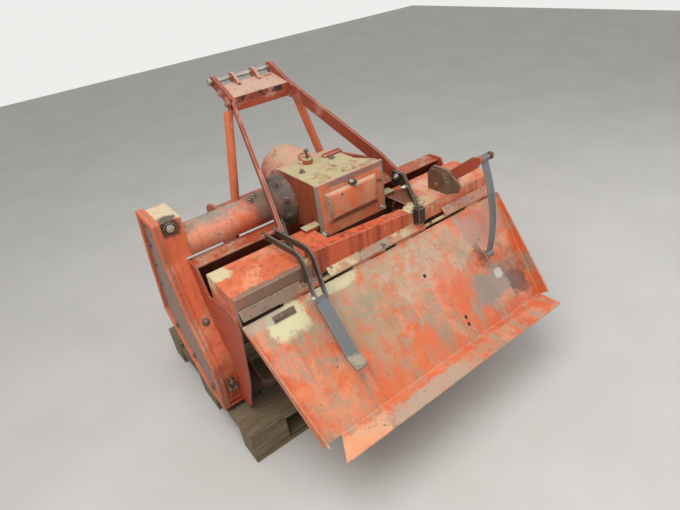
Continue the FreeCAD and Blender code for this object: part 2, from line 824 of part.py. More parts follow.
# Link plates on the hood that reach forward to the lower link pins, the left one short of the tube
front_outer = bar(front_path, wall)[:5]
link_front = [
    (*front_outer[2][:2], 0),
    (*front_outer[3][:2], 0),
    (size["link_pin_y"] - 4, size["link_pin_z"] - size["link_head"], 20),
    (size["link_pin_y"] + size["link_head"], size["link_pin_z"] - 18, 24),
    (size["link_pin_y"] + size["link_head"], size["link_pin_z"] + 24, 24),
    (size["link_pin_y"] + 6, size["link_pin_z"] + 48, 20),
    (size["crown_y"], size["ledge_z"] + size["link_rise"], 20),
]
tube_front = size["drive_y"] + size["tube_radius"] + 0.3
slope = (front_outer[2][1] - front_outer[1][1]) / (front_outer[2][0] - front_outer[1][0])
left_seat = [(tube_front, front_outer[1][1] + slope * (tube_front - front_outer[1][0]), 0)]
right_seat = [(size["link_rear_y"], size["ledge_z"], 0), (*front_outer[1][:2], 0)]
for side, sign, seat in (("left", -1, left_seat), ("right", 1, right_seat)):
    rear_top = [(seat[0][0], size["ledge_z"] + size["link_rise"], 6)]
    outlines = [
        rounded(seat + link_front + rear_top),
        hole(size["link_pin_y"], size["link_pin_z"], size["link_shank_radius"]),
    ]
    start = f"{sign} * link_half - {(sign + 1) / 2} * link_wall"
    named(padded(f"link_flat_{side}", "YZ_Plane", outlines, start, "link_wall"), f"link_plate_{side}")
    start = "link_half" if sign > 0 else "-link_half - link_pin_length"
    centre = (start, "link_pin_y", "link_pin_z")
    pin = rod(f"link_bar_{side}", "x", centre, "link_pin_radius", "link_pin_length")
    start = "link_half - link_wall" if sign > 0 else "-link_half - 1"
    centre = (start, "link_pin_y", "link_pin_z")
    shank = rod(f"link_shank_{side}", "x", centre, "link_shank_radius", "link_wall + 1")
    named(joined(f"link_turned_{side}", [pin, shank]), f"link_pin_{side}")

# Brackets: plates that run askew from the foot of each stay to the rear of the hood
stay_turn = math.radians(plan)
stay_foot_x = size["mast_half"] + foot_run * math.sin(stay_turn)
stay_foot_y = size["mast_y"] - foot_run * math.cos(stay_turn)
beside = stay_foot_x - (size["mast_wall"] + size["bracket_wall"]) / 2 / math.cos(stay_turn)
rear = size["hood_rear_y"]
hood_top = size["hood_top_z"]
hook_z = size["hinge_z"] + size["hinge_drop"] + wall + 1
lap = size["bracket_lap"]
bend_run = size["bracket_bend_run"]
for side, sign, front_rise, rear_rise in (("left", -1, 11, 3), ("right", 1, 46, 30)):
    bracket_corners = [
        (rear - size["bracket_wall"], hook_z, 0),
        (rear, hook_z, 0),
        (rear, hood_top, 0),
        (stay_foot_y + lap, hood_top, 0),
        (stay_foot_y + lap, size["stay_foot_z"] + 48, 10),
        (stay_foot_y - 4, size["stay_foot_z"] + 38, 18),
        (stay_foot_y - 60, hood_top + front_rise, 14),
        (rear - size["bracket_wall"], hood_top + rear_rise, 4),
    ]
    plan_path = [
        (sign * (beside - lap * math.sin(stay_turn)), stay_foot_y + lap * math.cos(stay_turn)),
        (sign * (beside + bend_run * math.sin(stay_turn)), stay_foot_y - bend_run * math.cos(stay_turn)),
        (size[f"bracket_{side}_x"], rear - size["bracket_wall"]),
    ]
    outline = rounded(bar(plan_path, size["bracket_wall"]))
    strip = padded(f"bracket_plan_{side}", "XY_Plane", [outline], "hinge_z", "2 * hood_top_z - hinge_z")
    profile = padded(
        f"bracket_side_{side}", "YZ_Plane", [rounded(bracket_corners)], "-plate_half", "2 * plate_half"
    )
    bracket = common(f"bracket_cut_{side}", strip, profile)
    if side == "right":
        block_corner = (
            "bracket_right_x - bracket_block / 2",
            "hood_rear_y - bracket_wall - 0.8 * bracket_block",
            "hood_top_z - 1.3 * bracket_block",
        )
        block = box("bracket_tail", block_corner, ("bracket_block", "bracket_block", "1.9 * bracket_block"))
        bracket = joined("bracket_welded", [bracket, block])
    named(bracket, f"stay_bracket_{side}")

# Bearing housing at the right end of the rotor
housing = rod("bearing_drum", "x", ("plate_half", "rotor_y", ROTOR_Z), "bearing_radius", "bearing_width")
housing_bore = rod(
    "bearing_bore",
    "x",
    ("plate_half - plate_wall", "rotor_y", ROTOR_Z),
    "stub_radius + running_gap",
    "bearing_width",
)
named(cut("bearing_bored", housing, housing_bore), "bearing_housing")

# Rotor: tube, stubs and flanges in one welded piece
rotor_parts = [
    rod(
        "rotor_tube",
        "x",
        (f"{INNER_LEFT} + rotor_end_gap", "rotor_y", ROTOR_Z),
        "rotor_tube_radius",
        f"{INNER_WIDTH} - 2 * rotor_end_gap",
    ),
    rod(
        "rotor_stubs",
        "x",
        ("-plate_half - bearing_width + 10", "rotor_y", ROTOR_Z),
        "stub_radius",
        "2 * (plate_half + bearing_width - 10)",
    ),
]
flange_count = int(size["flange_count"])
FLANGE_PITCH = f"({INNER_WIDTH} - 2 * flange_margin) / (flange_count - 1)"
flange_pitch = (2 * (size["plate_half"] - size["plate_wall"] - size["flange_margin"])) / (flange_count - 1)
steps = [number - (flange_count - 1) / 2 for number in range(flange_count)]
for number, step in enumerate(steps):
    flange = doc.addObject("Part::Prism", f"rotor_flange_{number}")
    flange.Polygon = 2 * int(size["blades_a_side"])
    flange.setExpression("Circumradius", linked("flange_radius"))
    flange.setExpression("Height", linked("flange_wall"))
    flange.Placement = Placement(Vector(), AXIS_TURNS["x"])
    placed(flange, (f"{step} * {FLANGE_PITCH} - flange_wall / 2", "rotor_y", ROTOR_Z))
    rotor_parts.append(flange)
named(joined("rotor_welded", rotor_parts), "rotor_shaft")


# An L blade standing on the +x face of a flange, its turned end pointing to +x
def blade():
    thick = size["blade_wall"]
    half = size["blade_width"] / 2
    reach = math.sqrt(size["blade_reach"] ** 2 - half ** 2)
    turned = size["blade_turn"]
    outline = rounded(
        [
            (0, size["blade_foot"], 0),
            (0, reach, size["blade_bend"]),
            (turned, reach, 0),
            (turned, reach - thick, 0),
            (thick, reach - thick, size["blade_bend"] - thick),
            (thick, size["blade_foot"], 0),
        ]
    )
    face = flat_face(outline)
    face.rotate(Vector(), Vector(1, 0, 0), 90)
    face.translate(Vector(0, half, 0))
    return face.extrude(Vector(0, -2 * half, 0))


right_blade = blade()
left_blade = right_blade.mirror(Vector(), Vector(1, 0, 0))
per_side = int(size["blades_a_side"])
for number, step in enumerate(steps):
    turned = []
    for model, sign in ((right_blade, 1), (left_blade, -1)):
        if sign * step == steps[-1]:
            continue
        for spoke in range(per_side):
            copy = model.copy()
            degrees = 360 / per_side * spoke + 180 / per_side * (sign < 0) + 25 * number
            copy.rotate(Vector(), Vector(1, 0, 0), degrees)
            x = step * flange_pitch + sign * size["flange_wall"] / 2
            copy.translate(Vector(x, rotor_y, rotor_z))
            turned.append(copy)
    named(shaped(f"blade_set_{number + 1}", Part.makeCompound(turned)), f"blades_{number + 1}")

# Trailing board, built flat and tilted about the hinge line
hinge = Vector(0, size["hinge_y"], size["hinge_z"])
tilt = Rotation(Vector(1, 0, 0), size["board_angle"])
tilted = Placement(hinge, tilt)
top_half = size["plate_half"]
foot_half = size["plate_half"] - size["board_taper"]
knuckle_radius = size["hinge_rod_radius"] + size["knuckle_wall"]
board_start = size["hinge_drop"]
board_end = size["board_length"]
flat_corners = [
    (-top_half, -board_start, 0),
    (top_half, -board_start, 0),
    (foot_half, -board_end, 0),
    (-foot_half, -board_end, 0),
]
board = prism(flat_corners, (0, 0, -wall))
for side, sign in SIDES:
    rim_corners = [
        (sign * top_half, -board_start, -wall),
        (sign * foot_half, -board_end, -wall),
        (sign * foot_half, -board_end, size["rim_foot"]),
        (sign * top_half, -board_start, size["rim_top"]),
    ]
    board = board.fuse(prism(rim_corners, (-sign * wall, 0, 0)))
ear_eye = Vector(size["strip_x"], size["strip_foot_y"], size["strip_foot_z"])
eye_local = tilted.inverse().multVec(ear_eye)
ear_corners = [
    (eye_local.y - 34, -1, 0),
    (eye_local.y + 44, -1, 0),
    (eye_local.y + 14, eye_local.z + 12, 14),
    (eye_local.y - 14, eye_local.z + 12, 14),
]
strip_left = size["strip_x"] - size["strip_width"] / 2
ear = flat_face(rounded(ear_corners))
ear.rotate(Vector(), Vector(1, 1, 1), 120)
ear.translate(Vector(strip_left - size["bracket_wall"], 0, 0))
board = board.fuse(ear.extrude(Vector(size["bracket_wall"] - 1, 0, 0)))
board.Placement = tilted
crease = tilted.multVec(Vector(0, -board_end, 0))
lip_corners = [
    (-foot_half + size["lip_notch"], crease.y + wall, crease.z),
    (foot_half, crease.y + wall, crease.z),
    (foot_half, crease.y - size["lip_depth"], crease.z),
    (-foot_half + 20, crease.y - size["lip_depth"], crease.z),
]
board = board.fuse(prism(lip_corners, (0, 0, -wall)))
KNUCKLES = [share * size["plate_half"] for share in (-0.742, -0.265, 0.071, 0.689)]
length = size["knuckle_length"]
along = Vector(1, 0, 0)
frame_knuckles = []
for place in KNUCKLES:
    spot = Vector(place, hinge.y, hinge.z)
    tongue = Part.makeBox(length, board_start + wall, wall, Vector(place, -board_start - wall, -wall))
    tongue.Placement = tilted.multiply(tongue.Placement)
    board = board.fuse([Part.makeCylinder(knuckle_radius, length, spot, along), tongue])
    spot = Vector(place + length + size["knuckle_gap"], hinge.y, hinge.z)
    web = Part.makeBox(length, size["hood_rear_y"] - hinge.y + wall, size["hinge_drop"] + wall, spot)
    frame_knuckles.append(Part.makeCylinder(knuckle_radius, length, spot, along).fuse(web))
rod_bore = Part.makeCylinder(
    size["hinge_rod_radius"] + size["running_gap"],
    2 * top_half,
    Vector(-top_half, hinge.y, hinge.z),
    along,
)
named(shaped("board_welded", board.cut(rod_bore).removeSplitter()), "trailing_board")
knuckles = shaped("hood_knuckles", Part.makeCompound([piece.cut(rod_bore) for piece in frame_knuckles]))
named(joined("hood_rear_welded", hood_sheets + [knuckles]), "hood_rear")
rod_start = KNUCKLES[0] - knuckle_radius
rod_length = KNUCKLES[-1] - KNUCKLES[0] + 2 * length + 2 * knuckle_radius
named(
    rod("hinge_bar", "x", (rod_start, "hinge_y", "hinge_z"), "hinge_rod_radius", rod_length),
    "hinge_rod",
)

# Quadrant plate with its arc of holes
pivot = (size["lever_y"], size["lever_z"])
quadrant_corners = [
    (pivot[0] + 44, size["hood_top_z"], 0),
    (pivot[0] + 44, pivot[1] + 35, 10),
    (pivot[0] + 16, pivot[1] + size["quadrant_height"], 16),
    (pivot[0] - 52, pivot[1] + size["quadrant_height"], 40),
    (pivot[0] - size["quadrant_reach"], pivot[1] + 31, 16),
    (pivot[0] - size["quadrant_reach"] + 6, pivot[1] - 3, 10),
    (size["hood_rear_y"] + 2, size["hood_top_z"], 0),
]
holes = [hole(*polar(pivot, 76 + 15 * number, size["hole_ring"]), 4) for number in range(6)]
holes.append(hole(*pivot, size["lever_pin_radius"] + size["running_gap"]))
named(
    padded("quadrant_plate", "YZ_Plane", [rounded(quadrant_corners)] + holes, "quadrant_x", "quadrant_wall"),
    "quadrant",
)

# Lever beside the quadrant, with its pivot pin and the boss that holds the strip
boss = polar(pivot, 180 - size["lever_angle"], size["lever_length"])
LEVER_X = "quadrant_x + quadrant_wall + 1"
STRIP_LEFT = "strip_x - strip_width / 2"
lever_outline = rounded(bar([pivot, boss], size["lever_depth"], tip=size["lever_depth"] / 2 - 1))
lever_parts = [
    padded("lever_flat", "YZ_Plane", [lever_outline], LEVER_X, "lever_wall"),
    rod("lever_pivot", "x", ("quadrant_x - 6", *pivot), "lever_pin_radius", "quadrant_wall + 8"),
    rod("lever_boss", "x", (LEVER_X, *boss), "strip_eye", f"{STRIP_LEFT} - 1 - ({LEVER_X})"),
    rod("lever_pin", "x", (LEVER_X, *boss), "lever_pin_radius", f"strip_x + strip_width - ({LEVER_X})"),
]
named(joined("lever_welded", lever_parts), "adjusting_lever")

# Curved strip from the lever down to the ear on the board, its lower eye left loose
foot = (size["strip_foot_y"], size["strip_foot_z"])
middle = ((boss[0] + foot[0]) / 2 - size["strip_bow"], (boss[1] + foot[1]) / 2)
strip_parts = [
    padded(
        "strip_flat",
        "YZ_Plane",
        [rounded(bar([boss, middle, foot], size["strip_wall"], size["strip_bend"]))],
        STRIP_LEFT,
        "strip_width",
    ),
    rod("strip_top_eye", "x", (STRIP_LEFT, *boss), "strip_eye", "strip_width"),
    rod("strip_foot_eye", "x", (STRIP_LEFT, *foot), "strip_eye", "strip_width"),
]
strip_bore = rod("strip_bore", "x", ("quadrant_x", *boss), "lever_pin_radius + running_gap", "2 * strip_x")
named(cut("strip_bored", joined("strip_body", strip_parts), strip_bore), "adjusting_strip")

# Spring on the left: two upright arms over the rear of the hood, and a leaf above the board
arm_path = [
    (size["arm_y"], size["arm_z"]),
    (size["arm_crest_y"], size["arm_crest_z"]),
    (size["arm_foot_y"], size["arm_foot_z"]),
]
leaf_path = [
    (size["leaf_top_y"], size["leaf_top_z"]),
    (size["leaf_foot_y"], size["leaf_foot_z"]),
    (size["leaf_tip_y"], size["leaf_tip_z"]),
]
LEAF_LEFT = "arm_x - leaf_width / 2"
outline = rounded(bar(leaf_path, size["leaf_wall"], size["arm_bend"]))
spring_parts = [padded("spring_leaf", "YZ_Plane", [outline], LEAF_LEFT, "leaf_width")]
for side, start in (("left", LEAF_LEFT), ("right", "arm_x + leaf_width / 2 - arm_wall")):
    outline = rounded(bar(arm_path, size["arm_depth"], size["arm_bend"]))
    spring_parts.append(padded(f"spring_arm_{side}", "YZ_Plane", [outline], start, "arm_wall"))
    spring_parts.append(rod(f"spring_eye_{side}", "x", (start, "arm_y", "arm_z"), "arm_eye", "arm_wall"))
eye_bore = rod(
    "spring_bore", "x", (f"{LEAF_LEFT} - 1", "arm_y", "arm_z"), "lever_pin_radius + running_gap", "leaf_width + 2"
)
named(cut("spring_bored", joined("spring_welded", spring_parts), eye_bore), "left_spring")

doc.recompute()
faults = []
for item in doc.Objects:
    if "Invalid" in item.State or "Error" in item.State:
        faults.append(f"{item.Label}: {item.State}")
for item in nodes:
    if item.Shape.isNull() or not item.Shape.isValid():
        faults.append(f"{item.Label}: no valid shape")
if faults:
    raise SystemExit("\n".join(faults))

os.makedirs("parts", exist_ok=True)
whole = FreeCAD.BoundBox()
for item in nodes:
    item.Shape.exportStep(f"parts/{item.Label}.step")
    whole.add(item.Shape.BoundBox)
print(len(nodes), "nodes", whole)
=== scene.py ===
# Rotary tiller on its pallet: worn paint, oily iron, weathered wood and the small fittings
# that the CAD frame leaves out. Metres, x to the machine's right, y forward, z up.

import math

import bmesh
import bpy
from mathutils import Euler, Matrix, Vector, noise


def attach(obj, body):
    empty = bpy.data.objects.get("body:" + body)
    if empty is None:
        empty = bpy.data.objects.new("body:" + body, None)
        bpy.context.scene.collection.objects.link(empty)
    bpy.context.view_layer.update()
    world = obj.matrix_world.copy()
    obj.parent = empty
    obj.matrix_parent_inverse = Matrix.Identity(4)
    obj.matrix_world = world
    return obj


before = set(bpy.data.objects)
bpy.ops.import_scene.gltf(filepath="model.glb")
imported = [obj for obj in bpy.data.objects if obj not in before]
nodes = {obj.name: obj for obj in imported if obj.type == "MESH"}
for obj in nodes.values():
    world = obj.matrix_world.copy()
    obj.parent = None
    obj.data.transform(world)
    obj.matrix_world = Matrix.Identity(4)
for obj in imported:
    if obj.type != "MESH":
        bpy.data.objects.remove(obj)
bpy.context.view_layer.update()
bpy.ops.object.select_all(action="DESELECT")
print("frame loaded:", len(nodes), "nodes")

# camera, at the photograph's place and lens
camera = {"place": (-0.9173, -1.3935, 1.5714), "turn": (57.485, 7.001, -36.9), "lens": 26.629}
bpy.ops.object.camera_add(location=camera["place"])
viewer = bpy.context.object
viewer.name = "viewer"
viewer.rotation_euler = Euler([math.radians(turn) for turn in camera["turn"]])
viewer.data.lens = camera["lens"]
viewer.data.sensor_width = 36.0
bpy.context.scene.camera = viewer
bpy.context.scene.view_settings.view_transform = "Standard"


def tone(code, alpha=1.0):
    # a written colour such as C65434, made linear
    parts = [int(code[i:i + 2], 16) / 255 for i in (0, 2, 4)]
    return tuple(c / 12.92 if c <= 0.04045 else ((c + 0.055) / 1.055) ** 2.4 for c in parts) + (alpha,)


# soft room light: a big panel above, a weak one from the right, and an even sky
lamps = {
    "panelAbove": {"place": (-1.1, -0.9, 3.3), "aim": (0.0, 0.0, 0.5), "size": 2.2, "power": 78.0},
    "panelRight": {"place": (2.6, -2.0, 2.0), "aim": (0.0, 0.0, 0.5), "size": 2.0, "power": 26.0},
}
for name, lamp in lamps.items():
    bpy.ops.object.light_add(type="AREA", location=lamp["place"])
    panel = bpy.context.object
    panel.name = name
    panel.rotation_euler = (Vector(lamp["aim"]) - Vector(lamp["place"])).to_track_quat("-Z", "Y").to_euler()
    panel.data.size = lamp["size"]
    panel.data.energy = lamp["power"]

sky = {"light": 0.42, "shown": 0.86, "colour": (1.0, 0.99, 0.97, 1.0)}
world = bpy.data.worlds.new("room")
bpy.context.scene.world = world
world.use_nodes = True
tree = world.node_tree
tree.nodes.clear()
path = tree.nodes.new("ShaderNodeLightPath")
seen = tree.nodes.new("ShaderNodeMath")
seen.operation = "MAXIMUM"
tree.links.new(path.outputs["Is Camera Ray"], seen.inputs[0])
tree.links.new(path.outputs["Is Glossy Ray"], seen.inputs[1])
either = tree.nodes.new("ShaderNodeMath")
either.operation = "MAXIMUM"
tree.links.new(seen.outputs[0], either.inputs[0])
tree.links.new(path.outputs["Is Transmission Ray"], either.inputs[1])
strength = tree.nodes.new("ShaderNodeMapRange")
strength.inputs["To Min"].default_value = sky["light"]
strength.inputs["To Max"].default_value = sky["shown"]
tree.links.new(either.outputs[0], strength.inputs["Value"])
backdrop = tree.nodes.new("ShaderNodeBackground")
backdrop.inputs["Color"].default_value = sky["colour"]
tree.links.new(strength.outputs["Result"], backdrop.inputs["Strength"])
tree.links.new(backdrop.outputs[0], tree.nodes.new("ShaderNodeOutputWorld").inputs["Surface"])


# shader building blocks
def newGroup(name, inputs, outputs):
    group = bpy.data.node_groups.new(name, "ShaderNodeTree")
    for label, kind, value in inputs:
        socket = group.interface.new_socket(label, in_out="INPUT", socket_type="NodeSocket" + kind)
        if value is not None:
            socket.default_value = value
    for label in outputs:
        group.interface.new_socket(label, in_out="OUTPUT", socket_type="NodeSocketFloat")
    return group, group.nodes.new("NodeGroupInput").outputs, group.nodes.new("NodeGroupOutput").inputs


def connect(tree, source, target):
    if hasattr(source, "is_output"):
        tree.links.new(source, target)
    else:
        target.default_value = source


def noiseNode(tree, vector, scale, detail=4.0, rough=0.55, distortion=0.0):
    node = tree.nodes.new("ShaderNodeTexNoise")
    for label, value in (("Scale", scale), ("Detail", detail), ("Roughness", rough), ("Distortion", distortion)):
        node.inputs[label].default_value = value
    tree.links.new(vector, node.inputs["Vector"])
    return node.outputs["Fac"]


def rampNode(tree, value, low, high):
    node = tree.nodes.new("ShaderNodeMapRange")
    node.interpolation_type = "SMOOTHSTEP"
    connect(tree, value, node.inputs["Value"])
    connect(tree, low, node.inputs["From Min"])
    connect(tree, high, node.inputs["From Max"])
    return node.outputs["Result"]


def mathNode(tree, kind, first, second=None):
    node = tree.nodes.new("ShaderNodeMath")
    node.operation = kind
    connect(tree, first, node.inputs[0])
    if second is not None:
        connect(tree, second, node.inputs[1])
    return node.outputs[0]


def vectorNode(tree, kind, first, second, out=0):
    node = tree.nodes.new("ShaderNodeVectorMath")
    node.operation = kind
    connect(tree, first, node.inputs[0])
    connect(tree, second, node.inputs[1])
    return node.outputs[out]


def mixNode(tree, share, first, second):
    node = tree.nodes.new("ShaderNodeMix")
    node.data_type = "RGBA"
    connect(tree, share, node.inputs[0])
    connect(tree, first, node.inputs[6])
    connect(tree, second, node.inputs[7])
    return node.outputs[2]


def times(tree, first, second):
    return mathNode(tree, "MULTIPLY", first, second)


def plus(tree, first, second):
    return mathNode(tree, "ADD", first, second)


def less(tree, first, second):
    return mathNode(tree, "SUBTRACT", first, second)


def shareMask(tree, value, share, softness):
    # share 0 leaves nothing of the noise, share 1 nearly all
    low = less(tree, 0.70, times(tree, share, 0.36))
    return rampNode(tree, value, low, plus(tree, low, softness))


# noise scales of the wear, from broad clouds to single specks, and how far dirt and runs are drawn out
wearScale = {"broad": 6.5, "cloud": 6.0, "middle": 13.0, "fine": 46.0, "fleck": 120.0, "speck": 230.0, "run": 1.5}
wearDrawn = {"cloud": (3.0, 1.1, 0.85), "run": (34.0, 34.0, 1.5), "apart": (3.1, 1.7, 5.3)}
wearSoft = {"chalk": 0.11, "film": 0.085, "chips": 0.03, "flecks": 0.05, "dust": 0.16}


def buildWear():
    # masks of old paint: chalked areas, dirt film, chips with flecks, pale rubbed edges that also stand in for painted
    # edge highlights, runs and settled dust
    group, given, result = newGroup(
        "wear",
        [("Vector", "Vector", None), ("Rounded", "Vector", None), ("Flat", "Vector", None),
         ("Facing", "Vector", None), ("Chalk", "Float", 0.5), ("Film", "Float", 0.4),
         ("Chips", "Float", 0.3), ("Edge", "Float", 0.6), ("Runs", "Float", 0.3), ("Dust", "Float", 0.3)],
        ["Chalk", "Film", "Chips", "Edge", "Runs", "Dust", "Height"],
    )
    place = given["Vector"]
    broad = noiseNode(group, place, wearScale["broad"], 6.0, 0.62, 0.5)
    apart = vectorNode(group, "ADD", place, wearDrawn["apart"])
    middle = noiseNode(group, apart, wearScale["middle"], 7.0, 0.68, 0.35)
    fine = noiseNode(group, place, wearScale["fine"], 6.0, 0.7, 0.3)
    speck = noiseNode(group, place, wearScale["speck"], 3.0, 0.6)
    chalk = shareMask(group, broad, given["Chalk"], wearSoft["chalk"])

    drawn = vectorNode(group, "MULTIPLY", place, wearDrawn["cloud"])
    cloud = noiseNode(group, drawn, wearScale["cloud"], 8.0, 0.72, 0.6)
    dirt = plus(group, times(group, cloud, 0.6), times(group, middle, 0.4))
    film = shareMask(group, dirt, given["Film"], wearSoft["film"])

    patchy = plus(group, times(group, middle, 0.5), times(group, fine, 0.5))
    chips = shareMask(group, patchy, given["Chips"], wearSoft["chips"])
    dots = noiseNode(group, place, wearScale["fleck"], 3.0, 0.55)
    flecks = shareMask(group, dots, times(group, given["Chips"], 0.42), wearSoft["flecks"])
    chips = mathNode(group, "MAXIMUM", chips, times(group, flecks, 0.75))

    # an edge is where the rounded normal leaves the flat one
    hollow = vectorNode(group, "DOT_PRODUCT", given["Rounded"], given["Flat"], 1)
    edge = rampNode(group, less(group, 1.0, hollow), 0.015, 0.10)
    ragged = rampNode(group, plus(group, fine, times(group, given["Edge"], 0.3)), 0.55, 0.72)
    edge = times(group, edge, ragged)

    hang = noiseNode(group, vectorNode(group, "MULTIPLY", place, wearDrawn["run"]), wearScale["run"], 5.0, 0.62, 0.15)
    runs = times(group, rampNode(group, hang, 0.48, 0.68), given["Runs"])

    # dust lies on what faces up
    up = group.nodes.new("ShaderNodeSeparateXYZ")
    group.links.new(given["Facing"], up.inputs[0])
    level = rampNode(group, up.outputs["Z"], 0.45, 0.97)
    dust = times(group, level, shareMask(group, patchy, given["Dust"], wearSoft["dust"]))
    height = plus(group, times(group, speck, 0.22), times(group, dust, 0.5))
    height = less(group, height, times(group, chips, 0.55))
    for label, value in (("Chalk", chalk), ("Film", film), ("Chips", chips), ("Edge", edge),
                         ("Runs", runs), ("Dust", dust), ("Height", height)):
        group.links.new(value, result[label])
    return group


# how far the wood's fibres and checks are drawn out along the board
grainDrawn = {"fibre": (1.2, 22.0, 22.0), "split": (0.8, 30.0, 30.0)}


def buildGrain():
    # long fibres along x of the vector it is given, with stains and open checks
    group, given, result = newGroup("grain", [("Vector", "Vector", None)], ["Fibre", "Check", "Stain", "Height"])
    along = given["Vector"]
    fibre = noiseNode(group, vectorNode(group, "MULTIPLY", along, grainDrawn["fibre"]), 9.0, 8.0, 0.72, 0.6)
    split = noiseNode(group, vectorNode(group, "MULTIPLY", along, grainDrawn["split"]), 4.0, 3.0, 0.5, 0.8)
    check = rampNode(group, split, 0.60, 0.67)
    stain = rampNode(group, noiseNode(group, along, 5.0, 6.0, 0.65, 0.3), 0.40, 0.66)
    for label, value in (("Fibre", rampNode(group, fibre, 0.34, 0.66)), ("Check", check),
                         ("Stain", stain), ("Height", less(group, fibre, check))):
        group.links.new(value, result[label])
    return group


wear = buildWear()
grain = buildGrain()


def newMaterial(name):
    material = bpy.data.materials.new(name)
    material.use_nodes = True
    tree = material.node_tree
    tree.nodes.clear()
    shader = tree.nodes.new("ShaderNodeBsdfPrincipled")
    tree.links.new(shader.outputs[0], tree.nodes.new("ShaderNodeOutputMaterial").inputs["Surface"])
    coordinates = tree.nodes.new("ShaderNodeTexCoord").outputs
    return material, tree, shader, coordinates


def bumpInto(tree, shader, height, distance, base=None):
    bump = tree.nodes.new("ShaderNodeBump")
    bump.inputs["Strength"].default_value = 0.7
    bump.inputs["Distance"].default_value = distance
    tree.links.new(height, bump.inputs["Height"])
    if base is not None:
        tree.links.new(base, bump.inputs["Normal"])
    tree.links.new(bump.outputs[0], shader.inputs["Normal"])


def turnedPlace(tree, place, turn):
    # the pattern's own axes, turned by these degrees
    turned = tree.nodes.new("ShaderNodeMapping")
    turned.inputs["Rotation"].default_value = [math.radians(angle) for angle in turn]
    tree.links.new(place, turned.inputs["Vector"])
    return turned.outputs[0]


# noise of the patches (scale, detail, roughness, distortion), and how their borders follow their looseness
patchNoise = {"coarse": (13.0, 8.0, 0.74, 0.5), "grit": (90.0, 4.0, 0.7, 0.2), "holes": (24.0, 8.0, 0.76, 0.4)}
patchEdge = {"reach": 6.5, "inner": (0.9, -0.35), "outer": (1.1, 0.5)}


def paintPatches(tree, place, pattern, patches, colour):
    # rounded oblongs with ragged borders, the loosest ones also broken by holes
    coarse = noiseNode(tree, pattern, *patchNoise["coarse"])
    grit = noiseNode(tree, pattern, *patchNoise["grit"])
    ragged = less(tree, plus(tree, times(tree, coarse, 0.72), times(tree, grit, 0.28)), 0.5)
    holes = noiseNode(tree, vectorNode(tree, "ADD", pattern, (7.7, 2.3, 4.1)), *patchNoise["holes"])
    broken = mathNode(tree, "MAXIMUM", rampNode(tree, holes, 0.42, 0.53), 0.3)
    for centre, size, shade, strength, loose in patches:
        away = vectorNode(tree, "DIVIDE", vectorNode(tree, "SUBTRACT", place, centre), size)
        length = vectorNode(tree, "LENGTH", vectorNode(tree, "MULTIPLY", away, away), (0.0, 0.0, 0.0), 1)
        length = plus(tree, length, times(tree, ragged, patchEdge["reach"] * loose))
        inner, outer = (start + more * loose for start, more in (patchEdge["inner"], patchEdge["outer"]))
        inside = less(tree, 1.0, rampNode(tree, length, inner, outer))
        cover = times(tree, inside, strength)
        if loose >= 1.0:
            cover = times(tree, cover, broken)
        colour = mixNode(tree, cover, colour, tone(shade))
    return colour


# one look of worn surface; a patch is (centre, half sizes, colour, strength, looseness)
plainLook = {
    "base": "C25C38", "chalk": "CC8468", "film": "A08D7A", "chip": "4A362C", "edge": "B9A08C",
    "run": "8C3A22", "dust": "C2AE86", "chalkShare": 0.45, "filmShare": 0.35, "chipShare": 0.2,
    "edgeShare": 0.6, "runShare": 0.25, "dustShare": 0.35, "rough": 0.52, "metal": 0.0,
    "bevel": 0.004, "turn": 0.0, "relief": 0.0012, "patches": [],
}


def wornMaterial(name, **changes):
    look = {**plainLook, **changes}
    material, tree, shader, coordinates = newMaterial(name)
    place = coordinates["Object"]
    pattern = turnedPlace(tree, place, (look["turn"], 0.0, 0.0)) if look["turn"] else place
    rounded = tree.nodes.new("ShaderNodeBevel")
    rounded.samples = 4
    rounded.inputs["Radius"].default_value = look["bevel"]
    masks = tree.nodes.new("ShaderNodeGroup")
    masks.node_tree = wear
    tree.links.new(pattern, masks.inputs["Vector"])
    tree.links.new(rounded.outputs[0], masks.inputs["Rounded"])
    tree.links.new(tree.nodes.new("ShaderNodeNewGeometry").outputs["Normal"], masks.inputs["Flat"])
    tree.links.new(coordinates["Normal"], masks.inputs["Facing"])
    for label in ("Chalk", "Film", "Chips", "Edge", "Runs", "Dust"):
        key = {"Chips": "chip", "Runs": "run"}.get(label, label.lower()) + "Share"
        masks.inputs[label].default_value = look[key]
    out = masks.outputs
    colour = mixNode(tree, out["Chalk"], tone(look["base"]), tone(look["chalk"]))
    colour = mixNode(tree, times(tree, out["Film"], 0.8), colour, tone(look["film"]))
    colour = mixNode(tree, out["Runs"], colour, tone(look["run"]))
    colour = mixNode(tree, out["Dust"], colour, tone(look["dust"]))
    if look["patches"]:
        colour = paintPatches(tree, place, pattern, look["patches"], colour)
    colour = mixNode(tree, out["Chips"], colour, tone(look["chip"]))
    colour = mixNode(tree, out["Edge"], colour, tone(look["edge"]))
    tree.links.new(colour, shader.inputs["Base Color"])
    covered = mathNode(tree, "MAXIMUM", out["Film"], out["Dust"])
    tree.links.new(plus(tree, look["rough"], times(tree, covered, 0.3)), shader.inputs["Roughness"])
    if look["metal"]:
        bare = less(tree, 1.0, covered)
        tree.links.new(times(tree, bare, look["metal"]), shader.inputs["Metallic"])
    bumpInto(tree, shader, out["Height"], look["relief"], rounded.outputs[0])
    return material


